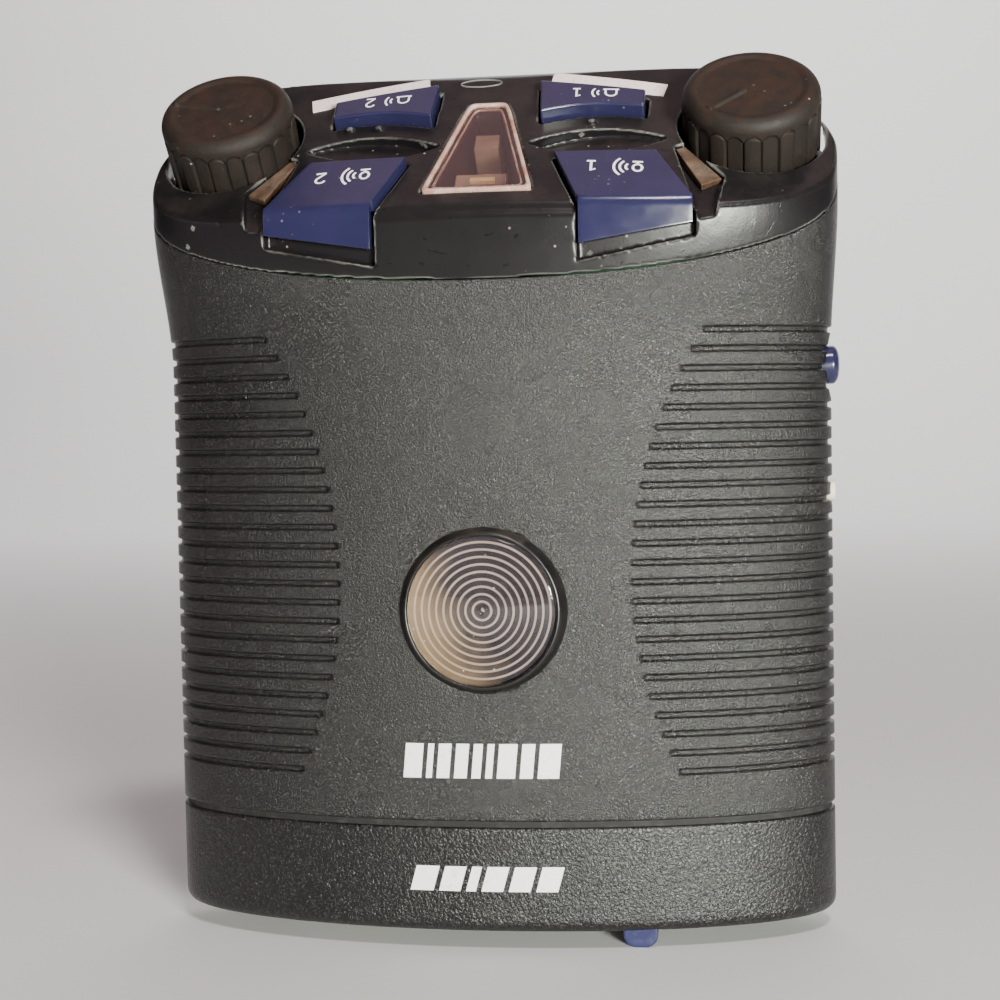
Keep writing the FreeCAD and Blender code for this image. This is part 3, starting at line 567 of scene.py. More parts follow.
def smooth_plastic():
    """Semi-matt black moulding, finely scratched, with edges lightened partly by rubbed wear and partly by a
    painted highlight.
    """
    material, tree, shader = new_finish("cap_plastic")
    place = object_place(tree)
    dust = dusted(tree, 0.9, 0.05)
    fine = noise(tree, place, 2600.0, 3.0)
    shader.inputs["Specular IOR Level"].default_value = 0.26
    cloud = noise(tree, place, 90.0, 4.0)
    stretch = node(tree, "Mapping", {"Vector": place, "Rotation": (0.2, 0.35, 0.5),
                                     "Scale": (40.0, 900.0, 60.0)})
    scratch = noise(tree, stretch.outputs[0], 9.0, 3.0)
    lines = ramp(tree, scratch, 0.665, 0.70)
    # Painted highlight and wear: convex edges, the lip most of all, are lightened in colour, partly rubbed
    # wear and partly a painted highlight.
    edge = ramp(tree, node(tree, "NewGeometry").outputs["Pointiness"], 0.518, 0.55)
    worn_edge_and_highlight = math_node(tree, "MULTIPLY", edge, ramp(tree, cloud, 0.35, 0.6))
    base = mix_colour(tree, worn_edge_and_highlight, (0.0070, 0.0060, 0.0070, 1), (0.15, 0.15, 0.14, 1))
    base = mix_colour(tree, dust, base, DUST)
    gloss = ramp(tree, cloud, 0.3, 0.7, 0.27, 0.35)
    gloss = math_node(tree, "MULTIPLY_ADD", lines, -0.12, gloss)
    gloss = math_node(tree, "MULTIPLY_ADD", dust, 0.3, gloss)
    wired(tree, shader, base, gloss)
    height = math_node(tree, "MULTIPLY_ADD", lines, -0.5, fine)
    bumped(tree, shader, height, 0.25, 0.00005)
    return material


cap_plastic = smooth_plastic()
finish_piece(cap_piece, cap_plastic, "case", "cap", "top_cap")

# ---- push buttons
# Gloss blue-violet caps over dome switches. The large ones fold over the front lip; the small
# ones sit behind the finger scoops. Their marks are printed white, to be read by the wearer.


def pad_solid(name, sheet, inward, thick, bevel):
    """Closed cap from a sheet of points, with its rim rounded over."""
    rows, columns = sheet.shape[:2]
    back = sheet + inward * thick
    index = np.arange(rows * columns).reshape(rows, columns)
    top = np.stack([index[:-1, :-1], index[:-1, 1:], index[1:, 1:], index[1:, :-1]], -1).reshape(-1, 4)
    under = top[:, ::-1] + rows * columns
    rim = np.concatenate([index[0, :], index[1:, -1], index[-1, -2::-1], index[-2:0:-1, 0]])
    ahead = np.roll(rim, -1)
    sides = np.stack([ahead, rim, rim + rows * columns, ahead + rows * columns], -1)
    points = np.concatenate([sheet.reshape(-1, 3), back.reshape(-1, 3)])
    piece = mesh_piece(name, points, np.concatenate([top, under, sides]).tolist())
    mesh = piece.data
    fixer = bmesh.new()
    fixer.from_mesh(mesh)
    bmesh.ops.recalc_face_normals(fixer, faces=fixer.faces)
    sharp = [edge for edge in fixer.edges if edge.calc_face_angle(0) > math.radians(38)]
    bmesh.ops.bevel(fixer, geom=sharp, offset=bevel * MM, segments=5, profile=0.5,
                    affect="EDGES", clamp_overlap=True)
    fixer.to_mesh(mesh)
    fixer.free()
    mesh.shade_smooth()
    return piece


def talk_sheet(side):
    """Top face, rolled front edge and hanging skirt of a large button."""
    rise = 1.4
    sheet, inward = [], []
    fronts = []
    for u in np.linspace(0, 1, 27):
        def across(up):
            inner = np.interp(up, [-2.3, 8.8], [14.75, 10.85])
            outer = np.interp(up, [-9.5, -0.6, 9.6], [30.85, 30.45, 25.35])
            return inner + (outer - inner) * u
        back = 8.8 + 0.8 * u
        x_front = across(-3.0)
        _, skin = case_outline(np.array([math.acos(-x_front / (HALF_WIDTH + LIP_FLARE))]), np.array([104.0]))
        skin_y = float(skin[0]) - (rise - 0.08) * math.sin(PANEL_TILT)
        top = rise - crown_fall(x_front)
        edge_up = (skin_y + FRONT_REACH + top * math.sin(PANEL_TILT)) / math.cos(PANEL_TILT)
        low_z = 98.15 + (x_front - 14.0) * 2.9 / 18.0
        roll = 2.4
        turn = math.pi / 2 - PANEL_TILT
        run = roll * math.tan(turn / 2)
        line = []
        for up in np.linspace(back, edge_up + run, 22):
            x = across(up)
            point = on_panel(x, up, rise - crown_fall(x))
            line.append((point, -panel_normal))
        start = on_panel(x_front, edge_up + run, top)
        centre = start - panel_normal * roll
        for share in np.linspace(0, 1, 9)[1:]:
            tilt = PANEL_TILT + turn * share
            out = Vector((0, -math.sin(tilt), math.cos(tilt)))
            line.append((centre + out * roll, -out))
        last = line[-1][0]
        for share in np.linspace(0, 1, 12)[1:]:
            point = Vector((last.x, last.y, last.z + (low_z - last.z) * share))
            line.append((point, Vector((0, 1, 0))))
        sheet.append([(side * p.x, p.y, p.z) for p, _ in line])
        inward.append([(side * n.x, n.y, n.z) for _, n in line])
    return np.array(sheet), np.array(inward)


def call_sheet(side):
    """Slightly crowned top of a small button, its front edge a shallow arc."""
    rise = 1.9
    sheet = []
    for u in np.linspace(0, 1, 33):
        back_x, back_up = 7.75 + 15.7 * u, 26.65 - 2.3 * u
        front_x = 8.15 + 15.2 * u
        front_up = 18.5 + 1.55 * u + 1.15 * math.sin(math.pi * u) * (1 - 0.25 * u)
        row = []
        for share in np.linspace(0, 1, 15):
            x = back_x + (front_x - back_x) * share
            up = back_up + (front_up - back_up) * share
            row.append(on_panel(side * x, up, rise - crown_fall(x)))
        sheet.append([(p.x, p.y, p.z) for p in row])
    return np.array(sheet), np.tile(np.array(-panel_normal), (33, 15, 1))


def button_plastic():
    """Blue-violet gloss plastic with faint swirls, finger marks and a few specks."""
    material, tree, shader = new_finish("button_plastic")
    place = object_place(tree)
    dust = dusted(tree, 0.6, 0.0)
    cloud = noise(tree, place, 160.0, 5.0, twist=0.4)
    smear = noise(tree, place, 420.0, 3.0)
    base = mix_colour(tree, ramp(tree, cloud, 0.35, 0.65),
                      (0.013, 0.013, 0.042, 1), (0.017, 0.016, 0.050, 1))
    base = mix_colour(tree, dust, base, DUST)
    gloss = ramp(tree, smear, 0.4, 0.7, 0.17, 0.22)
    wired(tree, shader, base, math_node(tree, "MULTIPLY_ADD", dust, 0.4, gloss))
    bumped(tree, shader, cloud, 0.1, 0.00012)
    return material


blue_gloss = button_plastic()
SIDES = {"left": -1, "right": 1}
for side_name, side in SIDES.items():
    sheet, inward = talk_sheet(side)
    talk = pad_solid(f"talk_cap_{side_name}", sheet, inward, 1.9, 0.85)
    finish_piece(talk, blue_gloss, f"talk_button_{side_name}", "button", f"talk_button_{side_name}")
    sheet, inward = call_sheet(side)
    call = pad_solid(f"call_cap_{side_name}", sheet, inward, 4.4, 0.55)
    finish_piece(call, blue_gloss, f"call_button_{side_name}", "button", f"call_button_{side_name}")


def ink(name, rough, colour, worn):
    """Ink, paper or plain plastic, a little worn in places."""
    return mottled(name, (1500.0, 4.0), (0.56, 0.75), colour, worn, (rough - 0.08, rough + 0.08),
                   (0.2, 0.00003))


white_ink = ink("white_ink", 0.5, (0.92, 0.90, 0.90, 1), (0.70, 0.67, 0.70, 1))


def stroke(line, width):
    """Flat ribbon of quads along a line of plan points."""
    line = [Vector(point) for point in line]
    left, right = [], []
    for index, point in enumerate(line):
        before = line[max(index - 1, 0)]
        after = line[min(index + 1, len(line) - 1)]
        ahead = (after - before).normalized()
        cross = Vector((-ahead.y, ahead.x)) * width / 2
        left.append(point + cross)
        right.append(point - cross)
    return left, right


def printed_mark(name, body, lines, width, to_surface):
    """White print: ribbons laid on a surface by a mapping of plan points."""
    points, faces = [], []
    for line in lines:
        left, right = stroke(line, width)
        first = len(points)
        for a, b in zip(left, right):
            points += [to_surface(a.x, a.y), to_surface(b.x, b.y)]
        for index in range(len(left) - 1):
            k = first + 2 * index
            faces.append((k, k + 1, k + 3, k + 2))
    finish_piece(mesh_piece(name, points, faces), white_ink, body, "tape")


def arc(centre, radius, start, end, steps=14, squash=1.0):
    return [(centre[0] + radius * math.cos(math.radians(a)),
             centre[1] + squash * radius * math.sin(math.radians(a)))
            for a in np.linspace(start, end, steps)]


def numeral(which, at):
    """1 or 2, 2.2 mm tall."""
    x, y = at
    if which == 1:
        return [[(x + 0.15, y + 1.75), (x + 0.75, y + 2.2), (x + 0.75, y)],
                [(x + 0.15, y), (x + 1.35, y)]]
    curve = arc((x + 0.75, y + 1.55), 0.65, 165, -35, 12)
    return [curve + [(x + 0.1, y)], [(x + 0.1, y), (x + 1.5, y)]]


def talk_mark(which):
    """Microphone capsule, three sound arcs and the channel numeral."""
    lines = [arc((-4.6, 1.35), 0.62, 0, 360, 20, 1.25), [(-4.6, 0.45), (-4.6, 0.0)],
             [(-5.3, 0.0), (-3.9, 0.0)]]
    lines += [arc((-3.9, 1.2), r, -48, 48, 12) for r in (0.9, 1.7, 2.5)]
    return lines + numeral(which, (0.9, 0.0))


def call_mark(which):
    """Bell outline with two rings and the channel numeral."""
    bell = arc((-4.2, 1.2), 0.85, 180, 0, 14) + [(-3.35, 0.45), (-3.0, 0.2)]
    lines = [[(-5.4, 0.2), (-5.05, 0.45)] + bell, [(-5.4, 0.2), (-3.0, 0.2)],
             arc((-3.0, 1.2), 0.9, -42, 42, 10), arc((-3.0, 1.2), 1.7, -42, 42, 10)]
    return lines + numeral(which, (0.4, 0.1))


def on_button(centre_x, centre_up, rise, size=1.0):
    """Plan points turned half round, as the wearer reads them from above."""
    def place(a, b):
        x = centre_x - a * size
        return on_panel(x, centre_up - b * size, rise - crown_fall(x))
    return place


for side_name, side in SIDES.items():
    channel = 2 if side < 0 else 1
    printed_mark(f"talk_print_{side_name}", f"talk_button_{side_name}", talk_mark(channel), 0.34,
                 on_button(side * 19.6 - 1.6, 6.4, 1.43, 1.05))
    printed_mark(f"call_print_{side_name}", f"call_button_{side_name}", call_mark(channel), 0.32,
                 on_button(side * 15.6 - 1.2, 24.2, 1.93, 0.95))

# ---- rotary knobs
# Soft-touch rubber knobs pushed on their shafts. Alternate pads round the skirt stand proud
# with arched tops; the top face has a moulded pointer ridge and holds brown dust.

KNOB_RADIUS = 10.05
KNOB_LOW = -6.3


def knob_radius(turn, height):
    """Skirt radius at one angle and height, with the pads and their outlines."""
    pad = (np.degrees(turn) + 7.5) % 30.0
    raised = pad < 15.0
    off = np.where(raised, pad - 7.5, pad - 22.5) / 7.5
    arch = 2.3 - 1.3 * (1 - np.sqrt(np.clip(1 - (off * 0.96) ** 2, 0, 1)))
    sunk = np.where(raised, 0.0, eased((arch - height) / 0.35))
    edge = np.clip((1 - np.abs(off)) * 1.3, 0, None)
    outline = np.minimum(np.abs(edge), 9)
    rim_line = np.where(height < arch, 1 - eased(outline / 0.22), 0.0)
    over = np.abs(height - arch)
    top_line = (1 - eased(over / 0.2)) * np.where(raised, 1.0, 0.4)
    line = np.maximum(rim_line, top_line)
    body = KNOB_RADIUS - 0.12 - 0.34 * sunk - 0.36 * line
    return body + 0.10 * np.where(raised, 1 - off ** 2, 0) * eased((arch - height) / 0.4)


def knob_piece(name, centre, pointer_turn):
    normal = np.array(panel_normal)
    across = np.array([1.0, 0, 0])
    up = np.array(panel_slope)
    turn = np.linspace(0, 2 * math.pi, 721)[:-1]
    rows = []
    for height in np.concatenate([[KNOB_LOW], np.linspace(KNOB_LOW + 0.1, 0.4, 24),
                                  np.linspace(0.5, 2.9, 36)]):
        radius = knob_radius(turn, np.full_like(turn, height))
        if height == KNOB_LOW:
            radius = radius - 1.2
        rows.append((radius, np.full_like(turn, height)))
    for share in np.linspace(0, 1, 14)[1:]:
        angle = share * math.pi / 2
        radius = KNOB_RADIUS - 0.12 - 1.5 * (1 - math.cos(angle)) - 0.15 * share
        rows.append((np.full_like(turn, radius), np.full_like(turn, 2.9 + 1.75 * math.sin(angle))))
    rim = rows[-1][0][0]
    for share in np.linspace(0, 1, 60)[1:]:
        radius = rim * (1 - share)
        x = radius * np.cos(turn)
        y = radius * np.sin(turn)
        along = x * math.cos(pointer_turn) + y * math.sin(pointer_turn)
        beside = -x * math.sin(pointer_turn) + y * math.cos(pointer_turn)
        reach = np.clip(np.maximum(1.2 - along, along - 8.2), 0, None)
        off = np.hypot(beside, reach)
        ridge = 0.34 * (1 - eased((off - 0.18) / 0.42))
        dish = 0.28 * eased((rim - radius) / 1.2)
        lump = 0.05 * np.sin(x * 1.7 + 1.0) * np.sin(y * 1.3)
        rows.append((np.full_like(turn, radius), 4.65 - dish + ridge + lump * share))
    points = []
    for radius, height in rows:
        flat = (np.outer(radius * np.cos(turn), across) + np.outer(radius * np.sin(turn), up)
                + np.outer(height, normal))
        points.append(flat + np.array(centre))
    return grid_piece(name, np.array(points), closed=True)


def knob_rubber():
    """Worn soft-touch rubber: grimy brown on top, faint sheen on the shoulder."""
    material, tree, shader = new_finish("knob_rubber")
    place = object_place(tree)
    facing = node(tree, "VectorMath", {0: node(tree, "NewGeometry").outputs["Normal"],
                                       1: tuple(panel_normal)}, operation="DOT_PRODUCT")
    top = ramp(tree, facing.outputs["Value"], 0.72, 0.96)
    patch = noise(tree, place, 330.0, 8.0, rough=0.72, twist=0.5)
    fine = noise(tree, place, 2300.0, 4.0, rough=0.65)
    grime = math_node(tree, "MULTIPLY", top, ramp(tree, patch, 0.38, 0.66))
    side_dirt = ramp(tree, patch, 0.50, 0.72, 0.0, 0.55)
    share = math_node(tree, "MAXIMUM", grime, side_dirt)
    dust = place_group(tree, settled_dust, {"Specks": 1.0, "Film": 0.25})
    base = mix_colour(tree, share, (0.010, 0.0070, 0.0055, 1), (0.024, 0.0095, 0.0050, 1))
    base = mix_colour(tree, dust.outputs["Speck Mask"], base, (0.32, 0.27, 0.22, 1))
    wired(tree, shader, base, ramp(tree, patch, 0.35, 0.7, 0.56, 0.76))
    shader.inputs["Specular IOR Level"].default_value = 0.3
    height = math_node(tree, "MULTIPLY_ADD", patch, 1.5, fine)
    bumped(tree, shader, height, 0.45, 0.00012)
    return material


soft_touch = knob_rubber()
for side_name, centre, pointer in (("left", left_turn, 168.0), ("right", right_turn, 222.0)):
    knob = knob_piece(f"knob_cap_{side_name}", centre, math.radians(pointer))
    finish_piece(knob, soft_touch, f"knob_{side_name}", "knob", f"knob_{side_name}")

# ---- display window
# A clear acrylic trapezoid dropped into the panel. Its walls catch the light; its rim and inner step
# are coloured with a painted glow in place of light. Under it lie a small lamp package with two bars
# and a dark floor.

WINDOW = [(-8.0, 1.6), (8.0, 1.6), (3.55, 21.0), (2.75, 23.4), (-2.75, 23.4), (-3.55, 21.0)]


def rounded_loop(corners, inset, radius, steps=5):
    """The outline moved inwards, with its corners rounded."""
    centre = Vector((0, 10.0))
    count = len(corners)
    lines = []
    for index in range(count):
        a, b = Vector(corners[index]), Vector(corners[(index + 1) % count])
        ahead = (b - a).normalized()
        inwards = Vector((-ahead.y, ahead.x))
        lines.append((a + inwards * inset, ahead))
    sharp = []
    for index in range(count):
        (p, d), (q, e) = lines[index - 1], lines[index]
        cross = d.x * e.y - d.y * e.x
        share = ((q.x - p.x) * e.y - (q.y - p.y) * e.x) / cross
        sharp.append(p + d * share)
    loop = []
    for index in range(count):
        corner = sharp[index]
        before = (sharp[index - 1] - corner)
        after = (sharp[(index + 1) % count] - corner)
        cut = min(radius, before.length * 0.4, after.length * 0.4)
        start = corner + before.normalized() * cut
        end = corner + after.normalized() * cut
        for share in np.linspace(0, 1, steps):
            loop.append(start * (1 - share) ** 2 + corner * 2 * share * (1 - share) + end * share ** 2)
    return loop


def window_rings(name, profile):
    """Closed ring of quads: each profile entry is an inset and a rise."""
    rows = []
    for inset, rise in profile:
        loop = rounded_loop(WINDOW, inset, 0.9)
        rows.append([tuple(on_panel(p.x, p.y, rise)) for p in loop])
    return grid_piece(name, np.array(rows), closed=True)


def filled(name, inset, rise, thick):
    """Flat plate that fills the outline."""
    loop = rounded_loop(WINDOW, inset, 0.8)
    count = len(loop)
    points = [on_panel(p.x, p.y, rise) for p in loop] + [on_panel(p.x, p.y, rise - thick) for p in loop]
    faces = [tuple(range(count)), tuple(reversed(range(count, 2 * count)))]
    faces += [(i, i + count, (i + 1) % count + count, (i + 1) % count) for i in range(count)]
    return mesh_piece(name, points, faces)


def painted_glow_acrylic():
    """The rim of the window: clear plastic coloured with a painted glow along its edges, in place of the
    light it catches.
    """
    material, tree, shader = new_finish("painted_glow_acrylic")
    place = object_place(tree)
    cloud = noise(tree, place, 300.0, 4.0)
    fine = noise(tree, place, 1800.0, 3.0)
    # Painted glow: the salmon-cream colour stands in for light caught along the clear rim.
    base = mix_colour(tree, ramp(tree, cloud, 0.35, 0.65),
                      (0.50, 0.24, 0.19, 1), (0.72, 0.52, 0.45, 1))
    wired(tree, shader, base, ramp(tree, fine, 0.4, 0.7, 0.12, 0.3))
    shader.inputs["Transmission Weight"].default_value = 0.35
    shader.inputs["IOR"].default_value = 1.49
    bumped(tree, shader, cloud, 0.3, 0.0002)
    return material


def clear_acrylic():
    """Clear sheet with faint haze and a few specks."""
    material, tree, shader = new_finish("clear_acrylic")
    dust = dusted(tree, 0.6, 0.05)
    wired(tree, shader, mix_colour(tree, dust, (0.95, 0.86, 0.84, 1), (0.6, 0.5, 0.45, 1)),
          ramp(tree, dust, 0.0, 0.5, 0.04, 0.5))
    shader.inputs["Transmission Weight"].default_value = 1.0
    shader.inputs["IOR"].default_value = 1.49
    return material


def tinted_well(name, low, high):
    """Moulded or coated part, faintly marbled."""
    return mottled(name, (210.0, 4.0), (0.35, 0.68), low, high, (0.3, 0.5), (0.2, 0.0002))


painted_glow = painted_glow_acrylic()
clear = clear_acrylic()
well_wall = tinted_well("window_wall", (0.016, 0.005, 0.006, 1), (0.07, 0.025, 0.022, 1))
well_floor = tinted_well("window_floor", (0.012, 0.004, 0.005, 1), (0.035, 0.012, 0.012, 1))
rim = window_rings("window_rim", [(0.0, -1.0), (0.0, 0.2), (0.1, 0.32), (0.32, 0.35), (0.52, 0.30),
                                  (0.62, 0.12), (0.66, -0.25), (0.70, -0.9)])
finish_piece(rim, painted_glow, "case", "clear", "window_lens")
inner_rim = window_rings("window_step", [(1.02, -0.55), (1.05, -0.25), (1.18, -0.2), (1.32, -0.25),
                                         (1.36, -0.6)])
finish_piece(inner_rim, painted_glow, "case", "clear")
inner_wall = window_rings("window_wall", [(0.68, -0.6), (1.1, -2.2), (1.5, -4.0), (1.7, -9.3)])
finish_piece(inner_wall, well_wall, "case", "clear")
pane = filled("window_pane", 0.64, -0.02, 0.45)
finish_piece(pane, clear, "case", "clear")
floor_plate = filled("window_floor", 0.6, -9.2, 0.3)
finish_piece(floor_plate, well_floor, "case", "light_block")
package = tinted_well("lamp_package", (0.20, 0.12, 0.08, 1), (0.36, 0.26, 0.18, 1))
bars = tinted_well("lamp_bars", (0.70, 0.46, 0.20, 1), (0.85, 0.66, 0.36, 1))
carry_over("light_block", package)
carry_over("light_bars", bars)

# ---- indicators
# Two wedge lamps of smoked amber plastic let into notches beside the knobs.


def amber_plastic():
    material, tree, shader = new_finish("amber_plastic")
    place = object_place(tree)
    cloud = noise(tree, place, 420.0, 5.0)
    dust = dusted(tree, 0.8, 0.25)
    base = mix_colour(tree, ramp(tree, cloud, 0.35, 0.68),
                      (0.034, 0.017, 0.011, 1), (0.085, 0.048, 0.030, 1))
    base = mix_colour(tree, dust, base, (0.42, 0.34, 0.27, 1))
    wired(tree, shader, base, ramp(tree, cloud, 0.35, 0.65, 0.25, 0.45))
    bumped(tree, shader, cloud, 0.35, 0.0002)
    return material


amber = amber_plastic()
for side_name in SIDES:
    lamp = softened(f"indicator_{side_name}", f"indicator_lamp_{side_name}", 0.12, 4)
    finish_piece(lamp, amber, "case", "amber", f"indicator_{side_name}")

# ---- badge
# A black bezel pressed into the front, a dark blue printed disc with plain cream rings, and a
# shallow domed clear lens over it.

badge_low, badge_high = box_mm("badge_bezel")
badge_x = (badge_low.x + badge_high.x) / 2
badge_z = (badge_low.z + badge_high.z) / 2
lens_low, _ = box_mm("badge_lens")
disc_low, _ = box_mm("badge_disc")


def turned(name, profile, steps=160):
    """Part turned about the badge axis: profile entries are radius and depth along Y."""
    turn = np.linspace(0, 2 * math.pi, steps + 1)[:-1]
    rows = [np.stack([badge_x + r * np.cos(turn), np.full_like(turn, y), badge_z + r * np.sin(turn)], -1)
            for r, y in profile]
    return grid_piece(name, np.array(rows), closed=True)


def bezel_plastic():
    material, tree, shader = new_finish("bezel_plastic")
    place = object_place(tree)
    cloud = noise(tree, place, 500.0, 4.0)
    dust = dusted(tree, 0.6, 0.2)
    wired(tree, shader, mix_colour(tree, dust, (0.006, 0.0055, 0.0055, 1), DUST),
          ramp(tree, cloud, 0.3, 0.7, 0.25, 0.4))
    bumped(tree, shader, cloud, 0.15, 0.0001)
    return material


bezel_y = badge_low.y
bezel = turned("badge_ring", [(12.25, -13.4), (12.25, bezel_y + 2.4), (12.12, bezel_y + 1.9),
                              (11.75, bezel_y + 1.0), (11.4, bezel_y + 0.35), (11.15, bezel_y + 0.08),
                              (10.95, bezel_y), (10.8, bezel_y + 0.12), (10.74, bezel_y + 0.4),
                              (10.72, bezel_y + 1.9)])
finish_piece(bezel, bezel_plastic(), "case", "bezel", "badge_bezel")


def badge_print():
    """Dark blue disc with fine cream rings printed over it; one half is lightened towards cream by a painted
    brushed highlight.
    """
    material, tree, shader = new_finish("badge_print")
    place = object_place(tree)
    parts = node(tree, "SeparateXYZ", {0: place})
    x = math_node(tree, "SUBTRACT", parts.outputs["X"], badge_x * MM)
    z = math_node(tree, "SUBTRACT", parts.outputs["Z"], badge_z * MM)
    radius = math_node(tree, "SQRT", math_node(tree, "MULTIPLY_ADD", x, x, math_node(tree, "MULTIPLY", z, z)))
    wave = math_node(tree, "SINE", math_node(tree, "MULTIPLY", radius, 2 * math.pi / 0.00105))
    rings = ramp(tree, wave, 0.45, 0.75)
    cloud = noise(tree, place, 160.0, 3.0)
    # Painted highlight: one half of the disc turns from blue towards cream, standing in for light on a
    # brushed face.
    highlight_lean = math_node(tree, "ADD", math_node(tree, "MULTIPLY", x, -75.0),
                     math_node(tree, "MULTIPLY", z, -30.0))
    highlight_lean = math_node(tree, "ADD", highlight_lean, cloud)
    painted_highlight = ramp(tree, highlight_lean, 0.55, 1.15)
    deep = mix_colour(tree, painted_highlight, (0.004, 0.005, 0.020, 1), (0.30, 0.24, 0.13, 1))
    cream = mix_colour(tree, painted_highlight, (0.60, 0.56, 0.50, 1), (0.62, 0.56, 0.42, 1))
    wired(tree, shader, mix_colour(tree, rings, deep, cream), ramp(tree, cloud, 0.3, 0.7, 0.3, 0.42))
    bumped(tree, shader, rings, 0.2, 0.00005)
    return material


disc_y = disc_low.y
disc = turned("badge_plate", [(10.7, disc_y + 0.3), (10.7, disc_y)] +
              [(radius, disc_y) for radius in np.linspace(10.5, 0.02, 24)])
finish_piece(disc, badge_print(), "case", "badge_print", "badge_disc")
dome = [(10.7, disc_y - 0.25), (10.7, bezel_y + 0.25)]
for share in np.linspace(0, 1, 22)[1:]:
    radius = 10.68 * (1 - share) + 0.02
    dome.append((radius, bezel_y + 0.25 - (bezel_y + 0.25 - lens_low.y) * (1 - (radius / 10.7) ** 2)))
dome += [(radius, disc_y - 0.25) for radius in np.linspace(0.02, 10.7, 12)]
lens = turned("badge_dome", dome)
finish_piece(lens, clear, "case", "clear", "badge_lens")

# ---- printed marks on the front
# Two rows of plain slanted bars, pad-printed in white on the case and on the base cap.


def front_y(x, z):
    angle = np.array([math.acos(max(-1.0, min(1.0, -x / HALF_WIDTH)))])
    return float(case_outline(angle, np.array([z]))[1][0])


def slanted_bars(name, left, right, low, high, slant, widths):
    """Row of bars that follows the curve of the case."""
    total = sum(widths) + 0.62 * (len(widths) - 1)
    scale = (right - left - slant * (high - low)) / total
    points, faces = [], []
    x = left
    for width in widths:
        first = len(points)
        columns = 4
        for step in range(7):
            z = low + (high - low) * step / 6
            for column in range(columns + 1):
                px = x + width * scale * column / columns + slant * (z - low)
                points.append((px, front_y(px, z) - 0.03, z))
        for step in range(6):
            for column in range(columns):
                k = first + step * (columns + 1) + column
                faces.append((k, k + 1, k + columns + 2, k + columns + 1))
        x += (width + 0.62) * scale
    finish_piece(mesh_piece(name, points, faces), white_ink, "case", "tape")


slanted_bars("case_bars", -12.1, 11.0, 22.6, 27.6, 0.10, [2.4, 0.8, 1.7, 1.7, 1.2, 0.9, 2.4, 1.7, 2.8])
slanted_bars("base_bars", -11.4, 11.1, 6.2, 9.8, 0.28, [2.6, 2.4, 1.1, 2.4, 2.4, 2.4])

# ---- panel mark and tape labels
# A plain oval ring is moulded at the back of the panel, and two strips of white paper tape
# lie along the crest behind the small buttons.


def oval_ring():
    """Low moulded ring."""
    curve = bpy.data.curves.new("panel_oval", "CURVE")
    curve.dimensions = "3D"
    spline = curve.splines.new("POLY")
    turn = np.linspace(0, 2 * math.pi, 49)[:-1]
    spline.points.add(len(turn) - 1)
    for point, angle in zip(spline.points, turn):
        x = -1.7 + 3.1 * math.cos(angle)
        place = on_panel(x, 29.2 + 0.95 * math.sin(angle), -0.02 - crown_fall(x))
        point.co = (place.x * MM, place.y * MM, place.z * MM, 1)
    spline.use_cyclic_u = True
    curve.bevel_depth = 0.16 * MM
    curve.bevel_resolution = 3
    piece = bpy.data.objects.new("panel_oval", curve)
    bpy.context.scene.collection.objects.link(piece)
    curve.materials.append(cap_plastic)
    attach(piece, "case")


oval_ring()
tape_paper = ink("tape_paper", 0.7, (0.80, 0.66, 0.66, 1), (0.55, 0.40, 0.40, 1))
carry_over("label_tape_left", tape_paper)
carry_over("label_tape_right", tape_paper)

# ---- side button and trimmer
# A domed blue button and, below it, the slotted white end of a small trimmer.

side_low, side_high = box_mm("side_button")


def side_dome():
    """Round-ended push button lying along X."""
    radius = 2.85
    middle = (side_low.z + side_high.z) / 2
    turn = np.linspace(0, 2 * math.pi, 97)[:-1]
    profile = [(radius, side_low.x + 2), (radius, side_high.x - 1.1)]
    profile += [(radius * math.cos(a) ** 0.7, side_high.x - 1.1 + 1.1 * math.sin(a))
                for a in np.linspace(0, math.pi / 2 - 0.02, 12)[1:]]
    rows = [np.stack([np.full_like(turn, x), NOSE_BACK + r * np.cos(turn), middle + r * np.sin(turn)], -1)
            for r, x in profile]
    return grid_piece("side_dome", np.array(rows), closed=True)


finish_piece(side_dome(), blue_gloss, "side_button", "button", "side_button")
ivory = ink("ivory_plastic", 0.35, (0.72, 0.70, 0.60, 1), (0.55, 0.52, 0.42, 1))
carry_over("trimmer_rotor", ivory)

# ---- latch tab
# The push tab of the latching base socket; its dark blue tip shows below the base.

latch_blue = ink("latch_plastic", 0.38, (0.016, 0.018, 0.075, 1), (0.03, 0.03, 0.09, 1))
latch = softened("line_latch", "latch_tab", 0.14, 5)
finish_piece(latch, latch_blue, "line_latch", "latch", "line_latch")

# ---- sockets in the base
# A four-pin and a three-contact round socket: nickel shells, black inserts, gilt contacts.


def plated(name, colour, stained, rough):
    """Plated or bare metal with light handling marks."""
    material = mottled(name, (350.0, 6.0, 0.65), (0.45, 0.75), colour, stained,
                       (rough - 0.06, rough + 0.12), (0.15, 0.0001))
    material.node_tree.nodes["Principled BSDF"].inputs["Metallic"].default_value = 1.0
    return material


nickel = plated("nickel_plate", (0.58, 0.57, 0.54, 1), (0.40, 0.38, 0.34, 1), 0.26)
gilt = plated("gilt_contacts", (0.75, 0.56, 0.26, 1), (0.55, 0.40, 0.18, 1), 0.24)
steel = plated("bright_steel", (0.50, 0.50, 0.51, 1), (0.34, 0.33, 0.32, 1), 0.28)
insert_plastic = grained_plastic("insert_plastic", (0.012, 0.012, 0.012, 1), (0.03, 0.03, 0.03, 1),
                                 0.5, 0.3, 0.3, 0.4, 0.2, 0.1)
for node_name, material in (("headset_shell", nickel), ("line_shell", nickel),
                            ("headset_insert", insert_plastic), ("line_insert", insert_plastic),
                            ("headset_pins", gilt), ("line_contacts", gilt)):
    carry_over(node_name, material)

# ---- belt clip
# A pressed bracket screwed to the rear carries a sprung, powder-coated lever on a steel pin.


